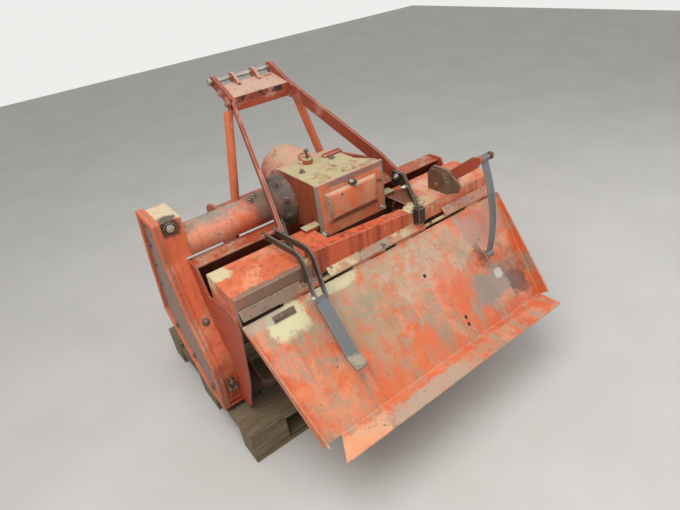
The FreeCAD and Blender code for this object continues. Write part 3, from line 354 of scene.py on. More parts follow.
def woodMaterial(name, turn=0.0):
    material, tree, shader, coordinates = newMaterial(name)
    fibres = tree.nodes.new("ShaderNodeGroup")
    fibres.node_tree = grain
    tree.links.new(turnedPlace(tree, coordinates["Object"], (0.0, 0.0, turn)), fibres.inputs["Vector"])
    out = fibres.outputs
    colour = mixNode(tree, out["Fibre"], tone("5E4E3C"), tone("92805F"))
    colour = mixNode(tree, times(tree, out["Stain"], 0.6), colour, tone("6A6052"))
    colour = mixNode(tree, out["Check"], colour, tone("2E241A"))
    tree.links.new(colour, shader.inputs["Base Color"])
    shader.inputs["Roughness"].default_value = 0.86
    bumpInto(tree, shader, out["Height"], 0.0016)
    return material


# the board's places are in the machine's own frame, at rest
board = wornMaterial(
    "boardPaint", base="DC6A3C", chalk="DC8E6C", film="A6977F", chip="5C4438", edge="CFBBA2", run="9A6650",
    chalkShare=0.6, filmShare=0.62, chipShare=0.24, runShare=0.42, dustShare=0.2, turn=39.2,
    patches=[
        ((-0.10, -0.31, 0.58), (0.30, 0.070, 0.08), "AC9C82", 0.75, 1.0),
        ((0.18, -0.33, 0.56), (0.22, 0.07, 0.07), "C8AC94", 0.65, 1.0),
        ((-0.432, -0.287, 0.610), (0.064, 0.038, 0.048), "D8CFA6", 1.0, 0.55),
        ((-0.24, -0.262, 0.638), (0.085, 0.022, 0.027), "D2C9A2", 0.9, 0.8),
        ((-0.50, -0.262, 0.64), (0.07, 0.018, 0.024), "B4A692", 0.8, 0.8),
        ((-0.415, -0.332, 0.552), (0.040, 0.032, 0.036), "9E9078", 0.75, 1.0),
        ((-0.18, -0.365, 0.51), (0.10, 0.05, 0.06), "9C8C70", 0.65, 1.0),
        ((-0.42, -0.46, 0.40), (0.12, 0.07, 0.09), "EC9468", 0.55, 1.0),
        ((-0.10, -0.50, 0.35), (0.20, 0.06, 0.08), "DE7446", 0.7, 1.0),
        ((-0.18, -0.41, 0.46), (0.05, 0.06, 0.07), "B8997C", 0.6, 1.0),
        ((0.05, -0.44, 0.42), (0.035, 0.08, 0.10), "9A8C74", 0.7, 1.0),
        ((0.16, -0.37, 0.51), (0.05, 0.04, 0.05), "DE7248", 0.6, 1.0),
        ((0.339, -0.441, 0.419), (0.10, 0.042, 0.052), "94867C", 0.9, 0.95),
        ((0.452, -0.466, 0.388), (0.042, 0.038, 0.047), "54423A", 0.8, 0.95),
        ((0.46, -0.41, 0.455), (0.05, 0.05, 0.06), "8C4E38", 0.6, 1.0),
        ((0.345, -0.405, 0.548), (0.02, 0.06, 0.05), "70362A", 0.85, 0.6),
        ((0.42, -0.31, 0.58), (0.10, 0.05, 0.06), "A8827A", 0.65, 1.0),
        ((0.381, -0.425, 0.437), (0.018, 0.013, 0.016), "CFC8C0", 0.75, 0.5),
        ((0.30, -0.52, 0.33), (0.20, 0.025, 0.03), "CC5A34", 0.7, 1.0),
        ((-0.12, -0.585, 0.325), (0.18, 0.03, 0.03), "B8A490", 0.85, 0.9),
        ((-0.44, -0.575, 0.33), (0.12, 0.035, 0.03), "F0B088", 0.7, 0.9),
        ((0.10, -0.585, 0.325), (0.10, 0.03, 0.03), "C48E72", 0.6, 1.0),
        ((0.084, -0.344, 0.538), (0.006, 0.006, 0.006), "1E1612", 1.0, 0.0),
        ((0.156, -0.470, 0.384), (0.006, 0.006, 0.006), "1E1612", 1.0, 0.0),
        ((0.153, -0.486, 0.363), (0.006, 0.006, 0.006), "1E1612", 1.0, 0.0),
    ],
)
hood = wornMaterial(
    "hoodPaint", base="D46A42", chalk="E08E68", film="9A8470", chip="54382C", edge="CDB296", run="8A3A22",
    chalkShare=0.66, filmShare=0.3, chipShare=0.2, runShare=0.5, dustShare=0.34,
    patches=[
        ((-0.53, -0.065, 0.73), (0.035, 0.04, 0.05), "CFC39A", 1.0, 0.9),
        ((-0.42, -0.235, 0.66), (0.17, 0.02, 0.09), "7E6A5A", 0.9, 0.9),
        ((0.14, -0.205, 0.73), (0.12, 0.03, 0.03), "CDBF94", 0.95, 1.0),
        ((-0.18, -0.21, 0.73), (0.10, 0.03, 0.03), "CBBE96", 0.9, 1.0),
        ((0.38, -0.15, 0.73), (0.12, 0.08, 0.03), "D8B59C", 0.7, 1.0),
        # dark brown patch at the right stay bracket: painted shade under the bracket
        ((0.19, -0.115, 0.73), (0.045, 0.055, 0.02), "563A2C", 0.85, 0.7),
    ],
)
beam = wornMaterial(
    "beamPaint", base="CC5A34", chalk="D98A66", film="B0937A", chip="4E2E22", edge="D9A88C", run="7A2C1A",
    chalkShare=0.42, filmShare=0.3, chipShare=0.24, runShare=0.85, dustShare=0.42,
)
frontHood = wornMaterial(
    "frontHoodPaint", base="AC4E32", chalk="B87A64", film="7E6C5E", chip="46302A",
    chalkShare=0.5, filmShare=0.45, chipShare=0.3, runShare=0.4, dustShare=0.6,
)
# side plates, skids and link plates: the pale edge line at full share is rubbed paint and also a painted edge highlight
plate = wornMaterial(
    "platePaint", base="B54A2C", chalk="BC6A52", film="7E6A5C", chip="46322A", edge="A89684",
    chalkShare=0.4, filmShare=0.45, chipShare=0.34, runShare=0.4, edgeShare=1.0,
)
case = wornMaterial(
    "casePaint", base="DE7048", chalk="DC8A64", film="8C7462", chip="56382A", edge="E0AC86", run="8A3A22",
    chalkShare=0.4, filmShare=0.16, chipShare=0.16, runShare=0.25, dustShare=1.0, dust="CFC0A0",
    patches=[((-0.589, 0.085, 0.862), (0.036, 0.05, 0.036), "463C36", 0.9, 0.6),
             ((-0.58, -0.03, 0.25), (0.05, 0.05, 0.07), "6E4834", 0.8, 1.0),
             ((-0.589, 0.0, 0.38), (0.06, 0.08, 0.12), "A85234", 0.7, 1.0)],
)
caseCover = wornMaterial(
    "caseCoverPaint", base="D8643A", chalk="D98A68", film="94705A", chip="56382A", edge="E8A47C", run="7A3A26",
    chalkShare=0.45, filmShare=0.25, chipShare=0.25, runShare=0.3, dustShare=0.5, edgeShare=0.9,
    patches=[((-0.6305, 0.19, 0.5), (0.003, 0.6, 0.6), "84746A", 0.85, 0.15),
             ((-0.6305, 0.10, 0.70), (0.007, 0.06, 0.10), "A05A42", 0.7, 1.0),
             ((-0.642, 0.03, 0.27), (0.02, 0.10, 0.12), "8E6A56", 0.7, 1.0)],
)
gearPaint = wornMaterial(
    "gearboxPaint", base="98482C", chalk="9C6044", film="6E5040", chip="4A2E24", edge="8A8478", run="6E2E1C",
    chalkShare=0.4, filmShare=0.34, chipShare=0.24, runShare=0.55, dustShare=1.0, dust="B9AD86",
    patches=[((0.0, 0.27, 0.86), (0.22, 0.13, 0.12), "D99C88", 0.85, 1.0),
             ((-0.14, 0.0, 0.79), (0.03, 0.06, 0.09), "A85A38", 0.5, 1.0)],
)
coverPaint = wornMaterial(
    "gearCoverPaint", base="DC7448", chalk="D68A66", film="8C8070", chip="5A3428", edge="A4A296", run="8A4A34",
    chalkShare=0.5, filmShare=0.26, chipShare=0.26, runShare=0.2, edgeShare=1.0, bevel=0.006, dustShare=1.0,
    dust="C4B898",
    patches=[((-0.142, -0.08, 0.79), (0.009, 0.03, 0.11), "84847A", 0.95, 0.35),
             ((0.142, -0.08, 0.79), (0.008, 0.03, 0.11), "9A7C70", 0.85, 0.4),
             ((0.02, -0.085, 0.873), (0.13, 0.008, 0.010), "7E6A66", 0.8, 0.7),
             # dark red band along the pressed panel's lower edge: painted shade under the panel's lower slope
             ((0.0, -0.098, 0.744), (0.11, 0.02, 0.012), "6E3022", 0.9, 0.25),
             ((-0.10, -0.09, 0.80), (0.012, 0.02, 0.04), "94866E", 0.7, 0.6),
             ((0.104, -0.09, 0.81), (0.010, 0.02, 0.035), "94906E", 0.7, 0.6)],
)
tube = wornMaterial(
    "tubePaint", base="DC8A6A", chalk="DAA088", film="A0917E", chip="5E4A3E", edge="9A8E80", run="7E4430",
    chalkShare=0.5, filmShare=0.42, chipShare=0.3, dustShare=0.9, dust="8E8678", runShare=0.3,
    patches=[((-0.23, 0.12, 0.80), (0.07, 0.09, 0.07), "5A524A", 0.8, 0.9),
             ((-0.33, 0.14, 0.76), (0.05, 0.06, 0.06), "D9643C", 0.7, 1.0),
             ((-0.16, 0.15, 0.77), (0.03, 0.12, 0.12), "4E4A42", 0.9, 0.9)],
)
# stays: the dark red-brown base is partly painted shade on the stays' faces, and the pale pink edge is rubbed paint and
# also a painted highlight
stayPaint = wornMaterial(
    "stayPaint", base="94422C", chalk="B2705C", film="7E665A", chip="4E342A", edge="DDB4A2", run="7E3020",
    chalkShare=0.45, filmShare=0.26, chipShare=0.24, edgeShare=0.9, dustShare=0.4, dust="C79A86",
)
strutPaint = wornMaterial(
    "strutPaint", base="D07048", chalk="D98C6C", film="8E6E5C", chip="56382C",
    chalkShare=0.5, filmShare=0.16, chipShare=0.16, runShare=0.2,
)
bridgePaint = wornMaterial(
    "bridgePaint", base="A64A30", chalk="C48A76", film="9C8678", chip="4E342C", edge="D9B8A4", chalkShare=0.5,
    filmShare=0.3, chipShare=0.2, edgeShare=0.9, dustShare=1.0, dust="C9A692",
    patches=[((-0.09, 0.44, 1.085), (0.028, 0.02, 0.012), "241C18", 1.0, 1.0),
             ((-0.01, 0.44, 1.085), (0.04, 0.02, 0.012), "241C18", 1.0, 1.0),
             ((0.07, 0.44, 1.085), (0.025, 0.02, 0.012), "241C18", 1.0, 1.0)],
)
rustyIron = wornMaterial(
    "rustyIron", base="4C3E34", chalk="6A5344", film="5E5A44", chip="2A211D", edge="A49686", run="6E4028",
    dust="8E8064", chalkShare=0.5, filmShare=0.4, chipShare=0.3, edgeShare=0.8, runShare=0.4, dustShare=0.4,
    rough=0.6, metal=0.25, relief=0.0016,
)
platedIron = wornMaterial(
    "platedIron", base="6E5240", chalk="846650", film="6E6A4E", chip="33261E", edge="B8AA94", run="4A3426",
    dust="8E8062", chalkShare=0.5, filmShare=0.45, chipShare=0.3, edgeShare=0.9, runShare=0.5, dustShare=0.4,
    rough=0.55, metal=0.2, relief=0.0014,
)
# the pale edge on this dark iron is worn metal and also a painted edge highlight
greasyIron = wornMaterial(
    "greasyIron", base="3B3228", chalk="5A4634", film="6A6248", chip="211A16", edge="B4A48E", run="2E241C",
    dust="8A7E5E", chalkShare=0.45, filmShare=0.42, chipShare=0.35, edgeShare=0.9, runShare=0.5, dustShare=0.35,
    rough=0.42, metal=0.3, relief=0.0016,
)
leverIron = wornMaterial(
    "leverIron", base="A85038", chalk="B87058", film="6A5040", chip="33261F", edge="B8A08C", run="5A3020",
    chalkShare=0.45, filmShare=0.4, chipShare=0.3, edgeShare=0.8, dustShare=0.3, rough=0.55, metal=0.15,
)
bladeIron = wornMaterial(
    "bladeIron", base="5C4334", chalk="7A5A44", film="6E6250", chip="35271F", edge="9C948A", run="4A3226",
    chalkShare=0.5, filmShare=0.45, chipShare=0.35, edgeShare=1.0, dustShare=0.3, rough=0.6, metal=0.3, relief=0.002,
)
bareSteel = wornMaterial(
    "bareSteel", base="8A8682", chalk="A29C94", film="6E6256", chip="4E4238", edge="C4C0BA", run="6A5444",
    chalkShare=0.5, filmShare=0.35, chipShare=0.22, edgeShare=0.8, runShare=0.3, dustShare=0.2, dust="9C907C",
    rough=0.36, metal=0.75, relief=0.0008,
)
leafSteel = wornMaterial(
    "leafSteel", base="6F7072", chalk="7C7C7A", film="6E6860", chip="4C443E", edge="B4ACA0", run="5A5450",
    chalkShare=0.4, filmShare=0.3, chipShare=0.14, edgeShare=0.8, runShare=0.2, dustShare=0.14,
    rough=0.5, metal=0.35, relief=0.0008,
    patches=[((-0.316, -0.466, 0.486), (0.03, 0.028, 0.02), "A79C80", 0.9, 1.0),
             ((-0.316, -0.14, 0.76), (0.05, 0.175, 0.09), "463B2E", 0.92, 0.5)],
)
brightSteel = wornMaterial(
    "brightSteel", base="B4B0A8", chalk="C8C4BC", film="8A7E70", chip="5E5248", edge="DCD8D0", run="7A6A5A",
    chalkShare=0.6, filmShare=0.3, chipShare=0.12, edgeShare=0.9, runShare=0.1, dustShare=0.1, rough=0.3, metal=0.85,
    relief=0.0005, bevel=0.0015,
)
flapPaint = wornMaterial(
    "flapPaint", base="BA7054", chalk="C4947A", film="A69A82", chip="6A5244", edge="D0BFA2", dust="B8AC88",
    chalkShare=0.5, filmShare=0.6, chipShare=0.4, dustShare=0.4, runShare=0.4,
    patches=[((-0.45, -0.25, 0.68), (0.125, 0.04, 0.05), "7A6656", 0.9, 0.8),
             ((-0.19, -0.25, 0.68), (0.07, 0.04, 0.05), "D0C69E", 0.85, 1.0),
             ((-0.05, -0.25, 0.68), (0.08, 0.04, 0.05), "98907C", 0.75, 1.0),
             ((0.09, -0.25, 0.68), (0.06, 0.04, 0.05), "C6B894", 0.8, 1.0),
             ((0.42, -0.25, 0.68), (0.14, 0.04, 0.05), "B48674", 0.6, 1.0)],
)
soil = wornMaterial(
    "soil", base="BDAA7C", chalk="CFC298", film="8E7C5C", chip="5E4E36", edge="D2C6A0", run="9C8A64",
    chalkShare=0.6, filmShare=0.4, chipShare=0.4, edgeShare=0.2, dustShare=0.2, rough=0.9, relief=0.004,
)
woodAlong = woodMaterial("woodAlong")
woodAcross = woodMaterial("woodAcross", 90.0)

finishes = {
    "trailing_board": board, "hood_rear": hood, "hood_front": frontHood, "hood_beam": beam,
    "side_plate_left": plate, "side_plate_right": plate, "skid_left": plate, "skid_right": plate,
    "chain_case": case, "chain_case_cover": caseCover, "gearbox": gearPaint, "gearbox_cover": coverPaint,
    "gearbox_side_cap": gearPaint, "drive_tube": tube, "stay_left": stayPaint, "stay_right": stayPaint,
    "headstock_bridge": bridgePaint, "strut_left": strutPaint, "strut_right": strutPaint,
    "hitch_beam": frontHood, "link_plate_left": plate, "link_plate_right": plate,
    "stay_bracket_left": greasyIron, "stay_bracket_right": greasyIron, "bearing_housing": rustyIron,
    "quadrant": platedIron, "adjusting_lever": leverIron, "adjusting_strip": leafSteel,
    "left_spring": leafSteel, "top_link_pin": brightSteel, "input_shaft": bareSteel,
    "link_pin_left": bareSteel, "link_pin_right": bareSteel, "hinge_rod": soil,
    "rotor_shaft": rustyIron, "pallet_deck_boards": woodAlong, "pallet_bottom_boards": woodAlong,
    "pallet_cross_boards": woodAcross, "pallet_blocks": woodAlong,
}
for name, node in nodes.items():
    finish = bladeIron if name.startswith("blades") else finishes[name]
    for slot in node.material_slots:
        slot.material = finish
print("materials given to every node")


# modelling helpers
def only(piece):
    bpy.ops.object.select_all(action="DESELECT")
    piece.select_set(True)
    bpy.context.view_layer.objects.active = piece


def pickFaces(piece, wanted):
    # in edit mode, selects the faces whose middle and normal pass
    bpy.ops.mesh.select_mode(type="FACE")
    bpy.ops.mesh.select_all(action="DESELECT")
    shape = bmesh.from_edit_mesh(piece.data)
    for face in shape.faces:
        face.select_set(bool(wanted(face.calc_center_median(), face.normal)))
    bmesh.update_edit_mesh(piece.data)


def pickEdges(piece, wanted):
    bpy.ops.mesh.select_mode(type="EDGE")
    bpy.ops.mesh.select_all(action="DESELECT")
    shape = bmesh.from_edit_mesh(piece.data)
    for edge in shape.edges:
        first, second = edge.verts
        edge.select_set(bool(wanted(first.co, second.co)))
    bmesh.update_edit_mesh(piece.data)


def addCylinder(sides, radius, low, high, middle=(0.0, 0.0)):
    bpy.ops.mesh.primitive_cylinder_add(vertices=sides, radius=radius, depth=high - low,
                                        location=(middle[0], middle[1], (low + high) / 2))


def roundTop(piece, height, reach, steps=2):
    # bevels the edges that lie at this height
    pickEdges(piece, lambda a, b: abs(a.z - height) < 1e-5 and abs(b.z - height) < 1e-5)
    bpy.ops.mesh.bevel(offset=reach, segments=steps, affect="EDGES")


# proportions of a bolt, in radii of its hexagon; it stands on z 0
boltForm = {"sunk": 0.4, "washer": 0.3, "washerRadius": 1.5, "head": 0.85, "bareHead": 0.9, "edge": 0.14,
            "stud": 0.52, "proud": 0.75}


def makeBolt(name, nut=False, washer=True):
    base = boltForm["washer"] if washer else 0.0
    top = base + boltForm["head"] if washer else boltForm["bareHead"]
    if washer:
        addCylinder(24, boltForm["washerRadius"], -boltForm["sunk"], base)
    else:
        addCylinder(6, 1.0, -boltForm["sunk"], top)
    bolt = bpy.context.object
    bolt.name = name
    bpy.ops.object.mode_set(mode="EDIT")
    if washer:
        roundTop(bolt, base, 0.1, 1)
        addCylinder(6, 1.0, base, top)
    roundTop(bolt, top, boltForm["edge"])
    if nut:
        addCylinder(12, boltForm["stud"], top - 0.2, top + boltForm["proud"])
        roundTop(bolt, top + boltForm["proud"], boltForm["edge"], 1)
    bpy.ops.object.mode_set(mode="OBJECT")
    return bolt


def makeRivet(name):
    addCylinder(20, 1.0, -0.4, 0.55)
    rivet = bpy.context.object
    rivet.name = name
    bpy.ops.object.mode_set(mode="EDIT")
    roundTop(rivet, 0.55, 0.42, 4)
    bpy.ops.object.mode_set(mode="OBJECT")
    return rivet


def makeRing(name):
    # a bent wire ring with its two legs pushed through a hole
    bpy.ops.mesh.primitive_torus_add(major_radius=1.0, minor_radius=0.13, major_segments=28, minor_segments=8)
    ring = bpy.context.object
    ring.name = name
    bpy.ops.object.mode_set(mode="EDIT")
    pickFaces(ring, lambda middle, normal: middle.y > 0.55)
    bpy.ops.transform.resize(value=(0.7, 1.25, 1.0), center_override=(0, 0, 0))
    bpy.ops.object.mode_set(mode="OBJECT")
    return ring


def touch(node, start, toward):
    # the point and normal where a ray meets a CAD node, or None
    hit, place, normal, face = nodes[node].ray_cast(Vector(start), Vector(toward).normalized())
    return (place, normal) if hit else None


def seat(node, start, toward):
    found = touch(node, start, toward)
    if found is None:
        raise ValueError(f"nothing of {node} lies there: {start}")
    return found


def ringSeats(node, across, toward, first=0.0):
    # eight places on a ring about the drive's axis, where the node is met
    axis, reach = (0.155, 0.769), 0.084
    found = []
    for step in range(8):
        angle = math.radians(first + 45 * step)
        start = (across, axis[0] + reach * math.cos(angle), axis[1] + reach * math.sin(angle))
        found.append(touch(node, start, toward))
    return [place for place in found if place is not None]


def joinAll(pieces, name):
    only(pieces[0])
    for piece in pieces[1:]:
        piece.select_set(True)
    if len(pieces) > 1:
        bpy.ops.object.join()
    pieces[0].name = name
    return pieces[0]


def settle(piece, body, finish, smooth=35.0):
    # the piece's place goes into its mesh, and it rides on its body
    only(piece)
    bpy.ops.object.transform_apply(location=True, rotation=True, scale=True)
    bpy.ops.object.shade_smooth_by_angle(angle=math.radians(smooth))
    piece.data.materials.clear()
    piece.data.materials.append(finish)
    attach(piece, body)


def placeSet(name, source, seats, size, body, finish):
    # copies of one fitting, each with its own mesh and turned on from the last, joined to one piece
    copies = []
    for index, (place, normal) in enumerate(seats):
        copy = bpy.data.objects.new(f"{name}{index}", source.data.copy())
        bpy.context.collection.objects.link(copy)
        turn = Vector(normal).to_track_quat("Z", "Y").to_matrix().to_4x4()
        swing = Matrix.Rotation(index * 0.7, 4, "Z")
        copy.data.transform(Matrix.Translation(Vector(place)) @ turn @ swing @ Matrix.Scale(size, 4))
        copies.append(copy)
    settle(joinAll(copies, name), body, finish)


def makeBox(name, low, high, reach=0.0015, steps=2):
    # a bar or plate between two corners, its edges rounded
    low, high = Vector(low), Vector(high)
    bpy.ops.mesh.primitive_cube_add(size=1.0, location=(low + high) / 2, scale=high - low)
    piece = bpy.context.object
    piece.name = name
    bpy.ops.object.transform_apply(location=True, rotation=False, scale=True)
    bpy.ops.object.mode_set(mode="EDIT")
    bpy.ops.mesh.select_all(action="SELECT")
    bpy.ops.mesh.bevel(offset=reach, segments=steps, affect="EDGES")
    bpy.ops.object.mode_set(mode="OBJECT")
    return piece


hexBolt = makeBolt("hexBolt")
studNut = makeBolt("studNut", nut=True)
plainNut = makeBolt("plainNut", nut=True, washer=False)
rivet = makeRivet("rivet")
pinRing = makeRing("pinRing")

# gearbox cover: pressed panel, latch, studs
panel = {"low": (-0.112, -0.085, 0.732), "high": (0.112, -0.084, 0.848), "rise": 0.013,
         "narrowed": (0.90, 1.0, 0.80), "middle": (0, -0.098, 0.79), "edge": 0.006}
pressed = makeBox("coverPanel", panel["low"], panel["high"], 0.0004, 1)
only(pressed)
bpy.ops.object.mode_set(mode="EDIT")
pickFaces(pressed, lambda middle, normal: normal.y < -0.99)
bpy.ops.mesh.extrude_region_move(TRANSFORM_OT_translate={"value": (0, -panel["rise"], 0)})
bpy.ops.transform.resize(value=panel["narrowed"], center_override=panel["middle"])
bpy.ops.mesh.bevel(offset=panel["edge"], segments=3, affect="EDGES")
bpy.ops.object.mode_set(mode="OBJECT")
settle(pressed, "root", coverPaint)

studPlaces = [((-0.134, -0.085, 0.702), (-0.3, -1, 0.1)), ((-0.138, -0.085, 0.694), (0, -0.5, -1)),
              ((0.132, -0.085, 0.704), (0, -1, 0))]
placeSet("coverStuds", studNut, studPlaces, 0.0085, "root", brightSteel)
placeSet("latchNut", studNut, [((0.017, -0.097, 0.842), (0, -1, 0.2))], 0.0065, "root", brightSteel)
latch = makeBox("coverLatch", (-0.010, -0.104, 0.850), (0.016, -0.084, 0.860), 0.003, 3)
settle(latch, "root", greasyIron)
placeSet("latchBall", rivet, [((-0.004, -0.097, 0.861), (0, -0.5, 1))], 0.0075, "root", brightSteel)

# gearbox roof: filler with its rod, breather collar, flat tab
boss = {"middle": (-0.037, 0.117), "radius": 0.019, "low": 0.880, "high": 0.902, "edge": 0.004}
addCylinder(20, boss["radius"], boss["low"], boss["high"], boss["middle"])
filler = bpy.context.object
filler.name = "fillerBoss"
bpy.ops.object.transform_apply(location=True)
bpy.ops.object.mode_set(mode="EDIT")
roundTop(filler, boss["high"], boss["edge"])
bpy.ops.object.mode_set(mode="OBJECT")
settle(filler, "root", gearPaint)

rodSize = {"radius": 0.004, "low": 0.900, "high": 0.926, "neck": 0.003, "head": 0.007, "widen": 2.2}
addCylinder(12, rodSize["radius"], rodSize["low"], rodSize["high"], boss["middle"])
rod = bpy.context.object
rod.name = "fillerRod"
bpy.ops.object.transform_apply(location=True)
bpy.ops.object.mode_set(mode="EDIT")
pickFaces(rod, lambda middle, normal: normal.z > 0.9)
bpy.ops.mesh.extrude_region_move(TRANSFORM_OT_translate={"value": (0, 0, rodSize["neck"])})
headHeight = rodSize["high"] + rodSize["neck"]
bpy.ops.transform.resize(value=(rodSize["widen"], rodSize["widen"], 1.0), center_override=(*boss["middle"], headHeight))
bpy.ops.mesh.extrude_region_move(TRANSFORM_OT_translate={"value": (0, 0, rodSize["head"])})
bpy.ops.mesh.bevel(offset=0.002, segments=2, affect="EDGES")
bpy.ops.object.mode_set(mode="OBJECT")
settle(rod, "root", greasyIron)

breather = {"radius": 0.024, "sunk": 0.006, "rise": 0.018, "wall": 0.006, "bore": 0.008}
roof = seat("gearbox", (-0.015, 0.175, 1.2), (0, 0, -1))[0]
addCylinder(24, breather["radius"], roof.z - breather["sunk"], roof.z + breather["rise"], (roof.x, roof.y))
collar = bpy.context.object
collar.name = "breatherCollar"
bpy.ops.object.transform_apply(location=True)
bpy.ops.object.mode_set(mode="EDIT")
pickFaces(collar, lambda middle, normal: normal.z > 0.9)
bpy.ops.mesh.inset(thickness=breather["wall"])
bpy.ops.mesh.extrude_region_move(TRANSFORM_OT_translate={"value": (0, 0, -breather["bore"])})
bpy.ops.object.mode_set(mode="OBJECT")
settle(collar, "root", gearPaint)
settle(makeBox("roofTab", (0.03, 0.10, 0.882), (0.11, 0.128, 0.894), 0.003), "root", stayPaint)
roofPlaces = [((0.045, 0.08, 0.884), (0, 0, 1)), ((-0.10, 0.06, 0.884), (0, 0, 1))]
placeSet("roofBolts", hexBolt, roofPlaces, 0.008, "root", rustyIron)

# chain case: filler plug on the head, side bolts, rim bolts in the cover's recess
head = seat("chain_case", (-0.589, -0.3, 0.862), (0, 1, 0))
placeSet("casePlug", rivet, [(head[0] - Vector((0, 0, 0.002)), head[1])], 0.021, "root", greasyIron)
placeSet("casePlugKey", hexBolt, [(head[0] + head[1] * 0.011, head[1])], 0.009, "root", brightSteel)
sidePlaces = [(-0.589, 0.506), (-0.589, 0.27), (-0.577, 0.235), (-0.60, 0.235)]
sideSeats = [seat("chain_case", (across, -0.3, height), (0, 1, 0)) for across, height in sidePlaces]
placeSet("caseSideBolts", studNut, sideSeats, 0.0095, "root", rustyIron)
rimPlaces = [(0.134, 0.842), (0.182, 0.862), (0.228, 0.842), (0.262, 0.750), (0.298, 0.650), (0.328, 0.550),
             (0.358, 0.450), (0.318, 0.350), (0.208, 0.262), (0.075, 0.196), (0.014, 0.250), (-0.001, 0.350),
             (0.047, 0.450), (0.093, 0.550), (0.119, 0.650), (0.140, 0.750)]
rimSeats = [seat("chain_case_cover", (-0.8, along, height), (1, 0, 0)) for along, height in rimPlaces]
placeSet("caseRimBolts", hexBolt, rimSeats, 0.0068, "root", rustyIron)

# drive tube and gearbox: flange bolts and the two on the tube's top
placeSet("bellBolts", hexBolt, ringSeats("drive_tube", -0.35, (1, 0, 0), 22.5), 0.0085, "root", rustyIron)
placeSet("capBolts", hexBolt, ringSeats("gearbox_side_cap", 0.4, (-1, 0, 0)), 0.0085, "root", rustyIron)
tubeSeats = [seat("drive_tube", (*place, 1.0), (0, 0, -1)) for place in ((-0.285, 0.135), (-0.262, 0.150))]
placeSet("tubeBolts", studNut, tubeSeats, 0.008, "root", greasyIron)

# headstock: nuts at the struts' tabs, rings in the pins
tabs = {"stay": (0.519, 1.107), "strut": (0.455, 1.078)}
tabSeats = [seat(f"{bar}_{side}", (across, *place), (-math.copysign(1, across), 0, 0))
            for side, across in (("left", -0.3), ("right", 0.3)) for bar, place in tabs.items()]
placeSet("strutNuts", hexBolt, tabSeats, 0.011, "root", stayPaint)
ringPlaces = [(0.139, 0.590, 1.131), (-0.408, 0.430, 0.670), (0.408, 0.430, 0.670)]
placeSet("pinRings", pinRing, [(place, (1, 0, 0)) for place in ringPlaces], 0.013, "root", brightSteel)

# lever with its pivot, pin and the nut of the strip's eye; the bolts of the two brackets
fromRight = [seat("adjusting_lever", (0.6, *place), (-1, 0, 0))
             for place in ((-0.187, 0.757), (-0.268, 0.815), (-0.36844, 0.89175))]
placeSet("leverPivot", rivet, fromRight[:1], 0.013, "adjusting_lever", rustyIron)
placeSet("leverPin", rivet, fromRight[1:2], 0.010, "adjusting_lever", brightSteel)
placeSet("stripNut", studNut, fromRight[2:], 0.009, "adjusting_lever", rustyIron)
brackets = {"Left": (-0.6, greasyIron, "dark", [(-0.03, 0.765), (-0.09, 0.742)]),
            "Right": (0.0, brightSteel, "steel", [(-0.03, 0.765), (-0.09, 0.742), (-0.238, 0.692)])}
for side, (across, finish, slotName, places) in brackets.items():
    bracketSeats = [seat(f"stay_bracket_{side.lower()}", (across, *place), (1, 0, 0)) for place in places]
    placeSet(f"bracketBolts{side}", studNut, bracketSeats, 0.009, "root", finish)

# dusty flap over the hinge, between the brackets; inner and outer are its edges in y and z
flap = {"inner": (-0.238, 0.690), "outer": (-0.2615, 0.6645), "wall": 0.003, "wave": 0.0012,
        "spans": [(-0.556, -0.345), (-0.243, 0.136), (0.282, 0.556)]}
for index, (low, high) in enumerate(flap["spans"]):
    bpy.ops.mesh.primitive_plane_add(size=1.0)
    strip = bpy.context.object
    strip.name = f"hingeFlap{index + 1}"
    bpy.ops.object.mode_set(mode="EDIT")
    bpy.ops.mesh.subdivide(number_cuts=14)
    bpy.ops.object.mode_set(mode="OBJECT")
    for vertex in strip.data.vertices:
        along, out = vertex.co.x + 0.5, vertex.co.y + 0.5
        wave = noise.noise(Vector((along * 9 + index * 7, out, 0))) * flap["wave"] * out
        y, z = (inner + (outer - inner) * out for inner, outer in zip(flap["inner"], flap["outer"]))
        vertex.co = Vector((low + (high - low) * along, y, z + wave))
    wall = strip.modifiers.new("wall", "SOLIDIFY")
    wall.thickness = flap["wall"]
    wall.offset = 1.0
    only(strip)
    bpy.ops.object.modifier_apply(modifier="wall")
    settle(strip, "root", flapPaint)

# small plate with two nuts at the board's upper left corner, and the nuts of strip and leaf
patch = {"spans": (-0.455, -0.411), "start": -0.2635, "proud": 0.0015, "down": 0.012,
         "slope": Vector((0, -0.632, -0.775)), "half": Vector((0.039, 0.012, 0.002)), "nuts": (-0.028, -0.010)}
ends = [seat("trailing_board", (along, patch["start"], 1.0), (0, 0, -1)) for along in patch["spans"]]
lean = ends[0][1]
middle = (ends[0][0] + ends[1][0]) / 2 + lean * patch["proud"] + patch["slope"] * patch["down"]
small = makeBox("cornerPlate", -patch["half"], patch["half"], 0.001)
small.rotation_euler = lean.to_track_quat("Z", "Y").to_euler()
small.location = middle
settle(small, "trailing_board", platedIron)
nutPlaces = [(middle + lean * 0.002 + Vector((across, 0, 0)), lean) for across in patch["nuts"]]
placeSet("cornerNuts", plainNut, nutPlaces, 0.0072, "trailing_board", rustyIron)
holePlace = (middle - lean * 0.0022 + Vector((0.030, 0, 0)), lean)
placeSet("cornerHole", rivet, [holePlace], 0.0055, "trailing_board", greasyIron)
foot = seat("adjusting_strip", (0.30, -0.405, 0.530), (1, 0, 0))
placeSet("stripFootNut", plainNut, [foot], 0.0075, "adjusting_strip", rustyIron)
leafSeat = seat("left_spring", (-0.6, -0.302, 0.652), (1, 0, 0))
placeSet("leafNut", studNut, [leafSeat], 0.0075, "left_spring", brightSteel)

